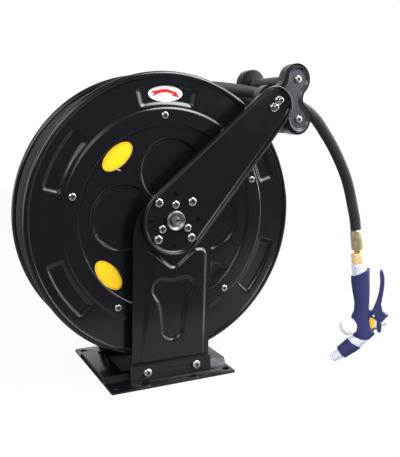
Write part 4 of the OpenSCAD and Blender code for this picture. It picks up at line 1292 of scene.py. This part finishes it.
@dataclass
class GuideArm:
    """Tray-shaped arm from the drum axis to the hose guide."""

    shop: PaintShop
    axis_z: float = AXIS_Z
    length: float = 244.0
    angle: float = 46.0
    low_r: float = 53.0
    end_r: float = 31.0
    back_y: float = -75.0
    web: float = 3.0
    edge_h: float = 7.0
    edge_t: float = 4.4
    floor_round: float = 3.6
    rim_round: float = 2.05
    back_round: float = 0.6
    index_r: float = 3.4
    index_ring: float = BOLT_SQUARE * math.sqrt(2)

    def outline(self, grow: float = 0.0, steps: int = 40) -> list[Point2]:
        """Outline of the arm, grown by a distance.

        Args:
            grow: distance added all round.
            steps: steps of each round end.

        Returns:
            The closed outline.
        """
        lean = math.degrees(math.asin((self.low_r - self.end_r) / self.length))
        turn = math.radians(self.angle)
        end = (self.length * math.cos(turn), self.axis_z + self.length * math.sin(turn))
        a = self.angle
        low = arc((0, self.axis_z), self.low_r + grow, a + 90 - lean, a + 270 + lean, steps)
        far = arc(end, self.end_r + grow, a - 90 + lean, a + 90 - lean, steps)
        return low + far

    def build(self) -> None:
        """Extrude the outline, press the tray in and round its edges."""
        front = self.back_y - self.web - self.edge_h
        floor = self.back_y - self.web
        obj = Bench.slab("front_arm_tray", self.outline(), self.back_y, front)
        Bench.choose(obj, Kind.FACE, lambda middle, normal, angle: normal.y < -0.9)
        with Bench.editing(obj, everything=False):
            bpy.ops.mesh.inset(thickness=self.edge_t * MM, depth=0)
            bpy.ops.mesh.extrude_region_move(TRANSFORM_OT_translate={"value": (0, self.edge_h * MM, 0)})
        Bench.tidy(obj)
        edges = ((floor, self.floor_round, 6), (front, self.rim_round, 6), (self.back_y, self.back_round, 2))
        for level, radius, steps in edges:
            Bench.round_edges(
                obj,
                radius,
                steps,
                lambda middle, direction, angle, at=level: angle > 50 and abs(middle.y - at) < 0.1,
            )
        for k in range(4):
            a = math.radians(90 * k)
            centre = (self.index_ring * math.cos(a), self.axis_z + self.index_ring * math.sin(a))
            hole = arc(centre, self.index_r, 0, 345, 23)
            Bench.cut(obj, Bench.slab("index_hole", hole, self.back_y + 2, floor - 2))
        Bench.soften(obj, 35)
        twin = Bench.soften(Bench.mirrored(obj, "rear_arm_tray"), 35)
        self.shop.finished(obj, Coat.BLACK_STEEL, "frame", "black_steel", ["front_arm"])
        self.shop.finished(twin, Coat.BLACK_STEEL, "frame", "black_steel", ["rear_arm"])


@dataclass
class GuidePlate:
    """Cast three-lobed plate that carries the guide rollers."""

    shop: PaintShop
    arm: GuideArm
    lobe_r: float = 25.0
    waist: float = 10.5
    back_y: float = -57.0
    floor_y: float = -75.0
    rim_y: float = -79.0
    rim_t: float = 6.7
    slope_t: float = 2.6
    floor_t: float = 0.9
    arm_gap: float = 2.0
    top: Point2 = TOP_AXLE
    low: Point2 = LOW_AXLE
    seat: Point2 = (164.997, 433.019)

    def outline(self, inset: float = 0.0) -> list[Point2]:
        """Outline of three lobes joined by hollows.

        Args:
            inset: distance taken off all round.

        Returns:
            The closed outline, with the same number of points at every inset.
        """
        lobes = [Vector(self.seat), Vector(self.low), Vector(self.top)]
        out: list[Point2] = []
        hollows = []
        for i, a in enumerate(lobes):
            b = lobes[(i + 1) % 3]
            half = (b - a).length / 2
            radius = (self.lobe_r**2 - half**2 - self.waist**2) / (2 * (self.waist - self.lobe_r))
            away = math.sqrt((self.lobe_r + radius) ** 2 - half**2)
            along = (b - a).normalized()
            hollows.append(((a + b) / 2 + away * Vector((along.y, -along.x)), radius))
        for i, lobe in enumerate(lobes):
            before, after = hollows[i - 1][0] - lobe, hollows[i][0] - lobe
            start = math.degrees(math.atan2(before.y, before.x))
            stop = math.degrees(math.atan2(after.y, after.x))
            stop = stop if stop > start else stop + 360
            out += arc(tuple(lobe), self.lobe_r - inset, start, stop, 64)
            centre, radius = hollows[i]
            first, last = lobe - centre, lobes[(i + 1) % 3] - centre
            start = math.degrees(math.atan2(first.y, first.x))
            stop = math.degrees(math.atan2(last.y, last.x))
            stop = stop if stop < start else stop - 360
            out += arc(tuple(centre), radius + inset, start, stop, 32)[1:-1]
        return out

    def section(self) -> list[Point2]:
        """Draw the section of the edge from the back to the sunk face.

        Returns:
            Inset and place along Y of its points.
        """
        inner = self.rim_t + self.slope_t
        corners = [
            (0.0, self.back_y),
            (0.0, self.rim_y),
            (self.rim_t, self.rim_y),
            (inner, self.floor_y),
            (inner + self.floor_t, self.floor_y),
            (inner + self.floor_t, self.back_y),
        ]
        return rounded(corners, [1.2, 4.4, 2.6, 1.5, 0.0, 0.0], 10)[:-1]

    def build(self) -> None:
        """Lay rings of the outline along the section, fill both faces and clear the arm."""
        section = self.section()
        rings = np.asarray([[(x, y, z) for x, z in self.outline(inset)] for inset, y in section])
        count = rings.shape[1]
        obj = Bench.grid("near_guide_casting", count, len(section) - 1)
        points = Bench.points(obj)
        along = np.rint((points[:, 0] + 1) / 2 * count).astype(int) % count
        ring = np.rint((points[:, 1] + 1) / 2 * (len(section) - 1)).astype(int)
        Bench.set_points(obj, rings[ring, along])
        Bench.tidy(obj)
        with Bench.editing(obj, Kind.EDGE):
            bpy.ops.mesh.fill_holes(sides=0)
        Bench.tidy(obj)
        tool = Bench.slab("arm_room", self.arm.outline(self.arm_gap), self.floor_y, self.rim_y - 3)
        Bench.cut(obj, tool)
        Bench.tidy(obj)
        Bench.soften(obj, 32)
        twin = Bench.soften(Bench.mirrored(obj, "far_guide_casting"), 32)
        self.shop.finished(obj, Coat.CAST_BLACK, "frame", "cast_guide", ["near_guide_plate"])
        # The far casting gets the darker copy of the cast coat, a painted shade.
        self.shop.finished(twin, Coat.CAST_SHADE, "frame", "cast_guide", ["far_guide_plate"])


# ---------------------------------------------------------------------------
# Bolts
# ---------------------------------------------------------------------------


@dataclass(frozen=True)
class ButtonHead:
    """Domed bolt with a hexagon socket, standing on its seat."""

    shank_r: float
    head_r: float
    head_h: float
    length: float
    socket_r: float = 2.8
    washer_r: float = 0.0
    washer_h: float = 2.0
    flat_edge: float = 0.5
    side_share: float = 0.34
    socket_share: float = 0.38
    foot_edge: float = 0.25
    washer_edge: float = 0.3

    def build(self, name: str) -> bpy.types.Object:
        """Turn the bolt, sink the socket in its head and give the socket faces the second material, a dark
        painted shade.

        Args:
            name: name of the new object.

        Returns:
            The bolt, with its head up along Z.
        """
        flat = self.socket_r + self.flat_edge
        side = self.side_share * self.head_h
        dome: list[Point2] = [(0.0, self.head_h), (flat, self.head_h)]
        for a in np.radians(np.linspace(75, 0, 9)):
            dome.append((flat + (self.head_r - flat) * math.cos(a), side + (self.head_h - side) * math.sin(a)))
        foot: list[Point2] = [(self.head_r, self.foot_edge), (self.head_r - self.foot_edge, 0.0)]
        if self.washer_r:
            out, cut = self.washer_r, self.washer_edge
            foot += [(out - cut, 0.0), (out, -cut), (out, cut - self.washer_h), (out - cut, -self.washer_h)]
        drop = self.washer_h if self.washer_r else 0.0
        foot += [(self.shank_r, -drop), (self.shank_r, -self.length), (0.0, -self.length)]
        obj = Bench.turned(name, dome + foot, Matrix.Identity(4), 48, 40)
        tool = Bench.hexagon("socket_key", self.socket_r, self.socket_share * self.head_h, self.head_h)
        Bench.cut(obj, tool)
        # Socket faces take the second material, dark: painted shade in the hollow of the socket.
        for face in obj.data.polygons:
            middle = face.center / MM
            if middle.xy.length < self.socket_r and 0.3 * self.head_h < middle.z < self.head_h - 0.05:
                face.material_index = 1
        return Bench.soften(obj, 40)


@dataclass
class Fasteners:
    """Bolts and screws of the frame, the guide and the drum, each kind modelled once."""

    shop: PaintShop
    axis_z: float = AXIS_Z
    drum_y: float = DRUM_Y
    flange_s: float = 43.0
    seat_y: float = 78.0
    top_axle: Point2 = TOP_AXLE
    low_axle: Point2 = LOW_AXLE
    square: float = BOLT_SQUARE

    def ring(self, radius: float, first: float, count: int) -> list[Point2]:
        """Places of bolts on a ring about the drum axis."""
        return arc((0, self.axis_z), radius, first, first + 360 - 360 / count, count - 1)

    def set_in(self, node: str, size: ButtonHead, places: Sequence[Point2], reach: float, body: str) -> None:
        """Copy one bolt to its places at both ends and join the copies.

        Args:
            node: CAD node that the bolts stand for.
            size: kind of bolt.
            places: places across and up.
            reach: distance of the seat from the middle of the body, along Y.
            body: CAD body that they ride on.
        """
        model = size.build(f"{node}_set")
        model.data.materials.append(self.shop.material(Coat.BOLT_ZINC))
        # Second material: dark steel, used as painted shade inside the sockets.
        model.data.materials.append(self.shop.material(Coat.DARK_STEEL))
        middle = self.drum_y if body == "drum" else 0.0
        copies = []
        for side in Side:
            for x, z in places:
                place = axis_place((x, middle + side.value * reach, z), (0, side.value, 0))
                copies.append(Bench.copied(model, f"{node}_copy"))
                Bench.set_on(copies[-1], place)
        bpy.data.objects.remove(model)
        obj = Bench.join(*copies)
        obj.name = obj.data.name = f"{node}_set"
        self.shop.finished(obj, Coat.BOLT_ZINC, body, "bright_zinc", [node])

    def build(self) -> None:
        """Set every kind of bolt in its places."""
        large = ButtonHead(4.0, 7.0, 4.5, 12.0, 3.4)
        self.set_in("base_bolts", large, [(-41.5, 17.0), (41.5, 17.0)], self.seat_y, "frame")
        corners = [(self.square * a, self.axis_z + self.square * b) for a in (-1, 1) for b in (-1, 1)]
        self.set_in("arm_bolts", large, corners, self.seat_y, "frame")
        small = ButtonHead(3.0, 6.2, 4.0, 11.0, 3.1)
        self.set_in("boss_bolts", small, self.ring(24.0, 90, 3), self.seat_y, "frame")
        tall = ButtonHead(3.0, 5.0, 7.0, 23.0, 2.8, 7.0)
        self.set_in("guide_bolts", tall, [(168.28, 422.93), (176.71, 434.11)], self.seat_y + 2.0, "frame")
        ends = ButtonHead(2.45, 6.2, 4.0, 9.7, 3.1)
        self.set_in("axle_screws", ends, [self.top_axle, self.low_axle], self.seat_y - 3.0, "frame")
        thin = ButtonHead(3.0, 5.6, 3.6, 3.0, 2.8)
        self.set_in("flange_screws", thin, self.ring(155.0, 22, 5), self.flange_s, "drum")


# ---------------------------------------------------------------------------
# Hose
# ---------------------------------------------------------------------------


@dataclass
class HoseWinding:
    """Two layers of hose on the drum."""

    shop: PaintShop
    axis_z: float = AXIS_Z
    centre_y: float = DRUM_Y
    radius: float = 10.0
    pitch: float = 20.7
    outer_r: float = 175.8
    inner_r: float = 155.4
    outer_turns: float = 2.3
    inner_turns: float = 3.0

    def coil(self, ring_r: float, turns: float, tail: float) -> list[Point3]:
        """Points of one layer.

        Args:
            ring_r: radius of the layer.
            turns: number of turns.
            tail: straight length at each end.

        Returns:
            The points of its centre line.
        """
        line: list[Point3] = []
        for t in np.linspace(0, turns, round(turns * 120) + 1):
            a = 2 * math.pi * t
            y = self.centre_y + (t - turns / 2) * self.pitch
            line.append((ring_r * math.cos(a), y, self.axis_z + ring_r * math.sin(a)))
        first = (Vector(line[0]) - Vector(line[1])).normalized() * tail
        last = (Vector(line[-1]) - Vector(line[-2])).normalized() * tail
        return [tuple(Vector(line[0]) + first), *line, tuple(Vector(line[-1]) + last)]

    def build(self) -> None:
        """Lay both layers on the drum."""
        outer = Bench.tube("outer_hose_layer", self.coil(self.outer_r, self.outer_turns, 20), self.radius)
        self.shop.finished(outer, Coat.HOSE_RUBBER, "drum", "hose_rubber", ["hose_wound"])
        inner = Bench.tube("inner_hose_layer", self.coil(self.inner_r, self.inner_turns, 8), self.radius, 5)
        self.shop.finished(inner, Coat.HOSE_RUBBER, "drum", "hose_rubber", ["hose_core"])


@dataclass
class FreeHose:
    """Hose from the drum through the guide down to the spray gun."""

    shop: PaintShop
    axis_z: float = AXIS_Z
    radius: float = 10.0
    lead_r: float = 199.2
    lead_y: float = 2.0
    lead_from: float = 262.0
    lead_to: float = 98.0
    lead_rings: int = 14
    lead_swell: float = 5.3
    lead_drift: float = 9.0
    lead_ease: float = 1.5
    end: Point3 = HOSE_END
    end_way: Point3 = (0.108977, -0.099859, -0.989016)
    route: tuple[Point3, ...] = (
        (10, 1, 450.5),
        (45, -1, 452.5),
        (80, -4, 453),
        (115, -7, 452.5),
        (150, -10, 450.5),
        (185, -12, 446.5),
        (215, -13, 441.5),
        (243, -13, 436),
        (268, -13, 429.5),
        (287, -13, 420.5),
        (305, -13, 407.5),
        (324, -13, 387),
        (342, -13, 366),
        (358, -13, 344),
        (372, -13, 322),
        (384, -13, 300),
        (393, -13, 278),
        (400, -13.5, 256),
        (405, -14.5, 238),
    )

    def line(self) -> list[Point3]:
        """Draw the centre line of the free hose.

        Returns:
            Its points from the drum to the ferrule.
        """
        lead: list[Point3] = []
        for i in range(self.lead_rings + 1):
            a = math.radians(self.lead_from + (self.lead_to - self.lead_from) * i / self.lead_rings)
            share = min(1.0, self.lead_ease * math.sin(math.pi * i / self.lead_rings))
            r = self.lead_r + self.lead_swell * share
            y = self.lead_y + self.lead_drift * share
            lead.append((r * math.cos(a), y, self.axis_z + r * math.sin(a)))
        before = tuple(np.asarray(self.end) - 20 * np.asarray(self.end_way))
        return smooth_line([*lead, *self.route, before, self.end], 5.0)

    def build(self) -> bpy.types.Object:
        """Draw the hose along its line.

        Returns:
            The hose piece.
        """
        obj = Bench.tube("free_hose", self.line(), self.radius, 8)
        return self.shop.finished(obj, Coat.HOSE_RUBBER, "frame", "hose_rubber", ["hose_free"])


# ---------------------------------------------------------------------------
# Spray gun
# ---------------------------------------------------------------------------


@dataclass
class SprayGun:
    """Trigger spray gun that hangs from the hose."""

    shop: PaintShop
    end: Point3 = HOSE_END
    turn: float = -42.5
    tilt: float = 8.5
    nut_r: float = 13.4
    nut_at: float = 44.0
    nut_h: float = 20.0
    crimp: float = 0.035
    pieces: list[bpy.types.Object] = field(default_factory=list)
    shaped: tuple[str, ...] = (
        "gun_body",
        "gun_dome",
        "gun_band",
        "nozzle_sleeve",
        "nozzle_tip",
        "trigger_lever",
        "trigger_pin",
        "trigger_lock",
        "lock_pin",
        "valve_stem",
        "valve_knob",
    )

    def inlet(self) -> Matrix:
        """Matrix of the inlet axis, with Z running down it."""
        place = Matrix.Translation(Vector(self.end)) @ Matrix.Rotation(math.radians(self.turn), 4, "Z")
        return place @ Matrix.Rotation(math.radians(180 - self.tilt), 4, "Y")

    def settle(self, obj: bpy.types.Object, smooth: float) -> bpy.types.Object:
        """Move a piece made upright onto the inlet axis and shade it smooth."""
        Bench.set_on(obj, self.inlet())
        return Bench.soften(obj, smooth)

    def ferrule(self) -> None:
        """Turn the ferrule and crimp it in eight places."""
        profile = [(9.8, -1.0), (11.0, 0.2), (11.3, 4.0), (11.9, 5.2), (11.9, 32.5), (11.3, 33.6), (11.0, 36.6)]
        profile += [(9.6, 38.0), (6.5, 38.0), (6.5, 54.0), (0, 54.0), (0, -1.0)]
        obj = Bench.turned("crimped_ferrule", profile, Matrix.Identity(4), 64)
        for v in obj.data.vertices:
            if 4.5 < v.co.z / MM < 33.2 and v.co.xy.length > 11.2 * MM:
                press = 1 - self.crimp * abs(math.cos(4 * math.atan2(v.co.y, v.co.x)))
                v.co.x, v.co.y = v.co.x * press, v.co.y * press
        self.settle(obj, 28)
        self.pieces.append(self.shop.finished(obj, Coat.FERRULE, "frame", "ferrule_zinc", ["hose_ferrule"]))

    def swivel_nut(self) -> None:
        """Extrude the hexagon of the nut, round its corners off and bore it."""
        obj = Bench.hexagon("swivel_nut", self.nut_r, self.nut_at, self.nut_h)
        crown = [(0, 43), (11.6, 43), (11.9, 44), (13.5, 45.2), (13.5, 62.8), (11.9, 64), (11.6, 65), (0, 65)]
        Bench.cut(obj, Bench.turned("nut_crown", crown, Matrix.Identity(4), 72), "INTERSECT")
        bore = [(0, 40), (6.8, 40), (6.8, 70), (0, 70)]
        Bench.cut(obj, Bench.turned("nut_bore", bore, Matrix.Identity(4), 48))
        Bench.round_edges(obj, 0.5, 2, lambda middle, direction, angle: angle > 25 and middle.xy.length > 9)
        self.settle(obj, 25)
        self.pieces.append(self.shop.finished(obj, Coat.NUT_BRASS, "frame", "nut_brass", ["hose_nut"]))

    def collar(self) -> None:
        """Turn the rounded collar of the inlet."""
        profile = [(5.0, 54.5), (7.9, 54.5), (7.9, 64.2), (10.5, 64.2)] + arc((10.6, 67.8), 3.6, -80, 0, 8)
        profile += [(14.2, 92.0), (5.0, 92.0)]
        obj = Bench.turned("inlet_collar", profile, self.inlet(), 72)
        self.pieces.append(self.shop.finished(obj, Coat.CHROME, "frame", "chrome_trim", ["gun_inlet"]))

    def build(self) -> list[bpy.types.Object]:
        """Make the fittings of the inlet.

        Returns:
            All pieces that hang on the hose, with the shaped pieces of the gun.
        """
        self.ferrule()
        self.swivel_nut()
        self.collar()
        return self.pieces + [frame["nodes"][name] for name in self.shaped]


# ---------------------------------------------------------------------------
# Pieces that keep their CAD shape
# ---------------------------------------------------------------------------


@dataclass(frozen=True)
class Care:
    """How the edges of a CAD piece are softened."""

    edge: float = 0.5
    steps: int = 2
    limit: float = 32.0
    voxel: float = 0.0
    blend: int = 0
    swell: float = 0.0

    def apply(self, obj: bpy.types.Object) -> None:
        """Put the modifiers on a piece.

        Args:
            obj: CAD piece to soften.
        """
        weld = obj.modifiers.new("weld", "WELD")
        weld.merge_threshold = 0.02 * MM
        if self.voxel:
            remesh = obj.modifiers.new("blend", "REMESH")
            remesh.mode = "VOXEL"
            remesh.voxel_size = self.voxel * MM
            remesh.use_smooth_shade = True
            smooth = obj.modifiers.new("smooth", "SMOOTH")
            smooth.factor = 0.5
            smooth.iterations = self.blend
            if self.swell:
                puff = obj.modifiers.new("swell", "DISPLACE")
                puff.strength = self.swell * MM
                puff.mid_level = 0.0
            return
        bevel = obj.modifiers.new("edges", "BEVEL")
        bevel.width = self.edge * MM
        bevel.segments = self.steps
        bevel.limit_method = "ANGLE"
        bevel.angle_limit = math.radians(self.limit)
        split = obj.modifiers.new("split", "EDGE_SPLIT")
        split.split_angle = math.radians(34)


@dataclass
class CadDressing:
    """Finishes and softened edges for the pieces that keep their CAD shape."""

    shop: PaintShop
    usual: Care = Care()
    cares: dict[str, Care] = field(
        default_factory=lambda: {
            "base_plate": Care(0.8),
            "bottom_roller": Care(1.0),
            "gun_body": Care(voxel=0.8, blend=14),
            "trigger_lever": Care(voxel=0.7, blend=8),
            "trigger_lock": Care(voxel=0.5, blend=2, swell=1.2),
            "nozzle_sleeve": Care(0.7, 3),
            "nozzle_tip": Care(1.1, 3),
            "valve_knob": Care(2.0, 5),
        }
    )
    coats: dict[str, Coat] = field(
        default_factory=lambda: {
            "gun_body": Coat.GUN_SPLIT,
            "gun_band": Coat.GUN_SPLIT,
            "gun_dome": Coat.DOME,
            "nozzle_tip": Coat.PALE_TIP,
            "valve_stem": Coat.BRIGHT_ZINC,
        }
    )

    def build(self) -> None:
        """Dress every CAD piece that is still shown."""
        slots = {part["node"]: part["material_slot"] for part in frame["record"]["subparts"]}
        for name, obj in frame["nodes"].items():
            if obj.hide_render:
                continue
            self.shop.dress(obj, self.coats.get(name, SLOT_COATS[slots[name]]))
            obj.data.polygons.foreach_set("use_smooth", [True] * len(obj.data.polygons))
            self.cares.get(name, self.usual).apply(obj)
            LOG.info("%s: CAD piece, %s", name, slots[name])


# ---------------------------------------------------------------------------
# Studio
# ---------------------------------------------------------------------------


@dataclass
class Studio:
    """Camera, soft lights, white surroundings and a pale floor."""

    lens: float = 47.08
    eye: Point3 = (-0.37755, -0.87815, 0.38406)
    right: Point3 = (0.88706, -0.46091, 0.02631)
    up: Point3 = (0.05168, 0.15578, 0.98644)
    ahead: Point3 = (0.45876, 0.87367, -0.16200)
    floor_low: Point2 = (-4.0, -0.36)
    floor_high: Point2 = (0.235, 4.0)
    floor_z: float = -0.0005
    # Dark sheet under the base: a painted shadow.
    painted_shadow_half: Point2 = (0.1045, 0.097)
    painted_shadow_z: float = -0.0002
    room_tint: Point3 = (0.88, 0.94, 1.0)
    room_level: float = 0.17
    backdrop: Point2 = (0.25, 0.75)

    def camera(self) -> None:
        """Set the camera at the angle of the photo."""
        lens = bpy.data.cameras.new("photo_camera")
        lens.lens = self.lens
        lens.sensor_width = 36.0
        lens.clip_start = 0.01
        obj = bpy.data.objects.new("photo_camera", lens)
        bpy.context.scene.collection.objects.link(obj)
        columns = (Vector(self.right), Vector(self.up), -Vector(self.ahead))
        turn = Matrix(columns).transposed().to_4x4()
        obj.matrix_world = Matrix.Translation(Vector(self.eye)) @ turn
        bpy.context.scene.camera = obj

    def lamp(
        self, name: str, at: Point3, to: Point3, size: Point2, power: float, tint: Point3
    ) -> bpy.types.Object:
        """Hang one soft area light.

        Args:
            name: name of the light.
            at: its place in metres.
            to: place that it faces.
            size: width and height.
            power: power in watts.
            tint: colour.

        Returns:
            The light.
        """
        data = bpy.data.lights.new(name, "AREA")
        data.shape = "RECTANGLE"
        data.size, data.size_y = size
        data.energy = power
        data.color = tint
        obj = bpy.data.objects.new(name, data)
        obj.location = at
        obj.rotation_euler = (Vector(to) - Vector(at)).to_track_quat("-Z", "Y").to_euler()
        obj.visible_camera = False
        bpy.context.scene.collection.objects.link(obj)
        return obj

    def lights(self) -> None:
        """Hang the soft boxes round the reel, the strongest on the right and above, and two fills."""
        self.lamp("key_box", (0.79, -0.64, 1.51), (0.05, 0, 0.25), (0.9, 1.1), 44, (0.97, 0.98, 1.0))
        self.lamp("right_box", (1.62, 0.08, 0.80), (0.1, 0, 0.28), (1.5, 1.2), 40, (0.93, 0.96, 1.0))
        self.lamp("low_right_box", (1.62, 0.08, -0.35), (0.1, 0, 0.20), (1.5, 1.0), 9, (0.90, 0.95, 1.0))
        self.lamp(
            "front_right_panel", (1.29, -1.06, 0.74), (0.15, 0, 0.35), (0.58, 0.62), 5.0, (0.86, 0.92, 1.0)
        )
        self.lamp("upper_left_box", (-1.05, -0.55, 1.2), (0, 0, 0.25), (0.8, 0.9), 11, (1.0, 1.0, 1.0))
        self.lamp("left_box", (-1.6, 0.40, 0.35), (0, 0, 0.25), (0.8, 1.4), 12, (0.95, 0.98, 1.0))
        self.lamp("low_front_panel", (1.13, -1.20, -0.42), (0.2, 0, 0.2), (0.6, 0.6), 1.0, (0.90, 0.95, 1.0))
        self.lamp("front_top_box", (-0.40, -1.40, 1.05), (0.0, 0, 0.2), (0.5, 0.4), 4.0, (0.96, 0.98, 1.0))
        white = (1.0, 1.0, 1.0)
        fills = (
            self.lamp("front_fill", (-1.0, -2.0, 1.5), (0.1, 0, 0.25), (1.4, 1.4), 42, white),
            self.lamp("low_fill", (0.1, -1.1, -0.4), (0.42, -0.05, 0.05), (0.5, 0.5), 3.0, white),
        )
        for fill in fills:
            fill.visible_glossy = False

    def seen_white(
        self, tree: bpy.types.NodeTree, surface: bpy.types.NodeSocket, share: float, level: float = 1.0
    ) -> bpy.types.Node:
        """Mix plain white over a surface where the camera, metal or glass looks at it.

        Args:
            tree: nodes of the surface.
            surface: output of its own shader.
            share: share of white that is seen.
            level: strength of the white.

        Returns:
            The node that sets the share for metal and glass.
        """
        white = add_node(tree, "Emission", {"Color": (1, 1, 1, 1), "Strength": level})
        path = add_node(tree, "LightPath")
        either = add_node(tree, "Math", rule="MAXIMUM")
        tree.links.new(path.outputs["Is Glossy Ray"], either.inputs[0])
        tree.links.new(path.outputs["Is Transmission Ray"], either.inputs[1])
        mirrored = add_node(tree, "MapRange", {"To Max": share})
        straight = add_node(tree, "MapRange", {"To Max": share})
        seen = add_node(tree, "Math", rule="MAXIMUM")
        mix = add_node(tree, "MixShader")
        tree.links.new(either.outputs[0], mirrored.inputs["Value"])
        tree.links.new(path.outputs["Is Camera Ray"], straight.inputs["Value"])
        tree.links.new(straight.outputs["Result"], seen.inputs[0])
        tree.links.new(mirrored.outputs["Result"], seen.inputs[1])
        tree.links.new(seen.outputs[0], mix.inputs["Fac"])
        tree.links.new(surface, mix.inputs[1])
        tree.links.new(white.outputs[0], mix.inputs[2])
        output = next(node for node in tree.nodes if node.type in ("OUTPUT_MATERIAL", "OUTPUT_WORLD"))
        tree.links.new(mix.outputs[0], output.inputs["Surface"])
        return mirrored

    def surroundings(self) -> None:
        """Make the surroundings: a white backdrop behind the reel and a dim room in front of it."""
        world = bpy.data.worlds.new("white_studio")
        world.use_nodes = True
        tree = world.node_tree
        back = tree.nodes["Background"]
        back.inputs["Color"].default_value = (*self.room_tint, 1)
        back.inputs["Strength"].default_value = self.room_level
        mirrored = self.seen_white(tree, back.outputs[0], 1.0)
        place = add_node(tree, "TexCoord")
        depth = add_node(tree, "VectorMath", {1: self.ahead}, "DOT_PRODUCT")
        near, far = self.backdrop
        backdrop = add_node(tree, "MapRange", {"From Min": near, "From Max": far})
        backdrop.interpolation_type = "SMOOTHSTEP"
        tree.links.new(place.outputs["Generated"], depth.inputs[0])
        tree.links.new(depth.outputs["Value"], backdrop.inputs["Value"])
        tree.links.new(backdrop.outputs["Result"], mirrored.inputs["To Max"])
        bpy.context.scene.world = world

    @staticmethod
    def sheet(name: str, low: Point2, high: Point2, z: float) -> bpy.types.Object:
        """Lay a level sheet.

        Args:
            name: name of the new object.
            low: its corner with the least X and Y, in metres.
            high: its corner with the greatest X and Y, in metres.
            z: its height in metres.

        Returns:
            The sheet.
        """
        bpy.ops.mesh.primitive_plane_add(size=1.0, location=(0, 0, 0))
        obj = bpy.context.object
        obj.name = name
        for v in obj.data.vertices:
            v.co = (high[0] if v.co.x > 0 else low[0], high[1] if v.co.y > 0 else low[1], z)
        return obj

    def floor(self) -> None:
        """Lay the pale floor under the base, ending short of the hanging gun, with a dark sheet under the base
        as painted shadow.
        """
        obj = self.sheet("pale_floor", self.floor_low, self.floor_high, self.floor_z)
        pale = Finish("pale_floor_paint", (0.24, 0.24, 0.24), 0.9, Grain.MOULDED, specular=0.1, spread=0.01)
        material = pale.build()
        tree = material.node_tree
        mirrored = self.seen_white(tree, tree.nodes["Principled BSDF"].outputs[0], 0.85, 1.1)
        mirrored.inputs["To Max"].default_value = 0.1
        obj.data.materials.append(material)
        # A dark sheet under the base plate paints its shadow.
        x, y = self.painted_shadow_half
        under = self.sheet("painted_shadow_sheet", (-x, -y), (x, y), self.painted_shadow_z)
        shade = Finish("painted_shadow_floor_paint", (0.02, 0.02, 0.02), 0.9, Grain.MOULDED, specular=0.1, spread=0.05)
        under.data.materials.append(shade.build())

    def build(self) -> None:
        """Set up camera, lights, surroundings and floor."""
        self.camera()
        self.surroundings()
        self.lights()
        self.floor()
        view = bpy.context.scene.view_settings
        view.view_transform = "Standard"
        LOG.info("studio ready")


def main() -> None:
    """Build the studio and every piece."""
    logging.basicConfig(level=logging.INFO, format="%(name)s: %(message)s")
    shop = PaintShop()
    Studio().build()
    hose = FreeHose(shop)
    hose_piece = hose.build()
    HoseWinding(shop).build()
    flange = DrumFlange(shop)
    flange.build()
    FlangeLabels(shop, flange).build()
    Post(shop).build()
    arm = GuideArm(shop)
    arm.build()
    GuidePlate(shop, arm).build()
    Fasteners(shop).build()
    SprayGun(shop).build()
    CadDressing(shop).build()
    bpy.context.view_layer.update()


if __name__ == "__main__":
    main()
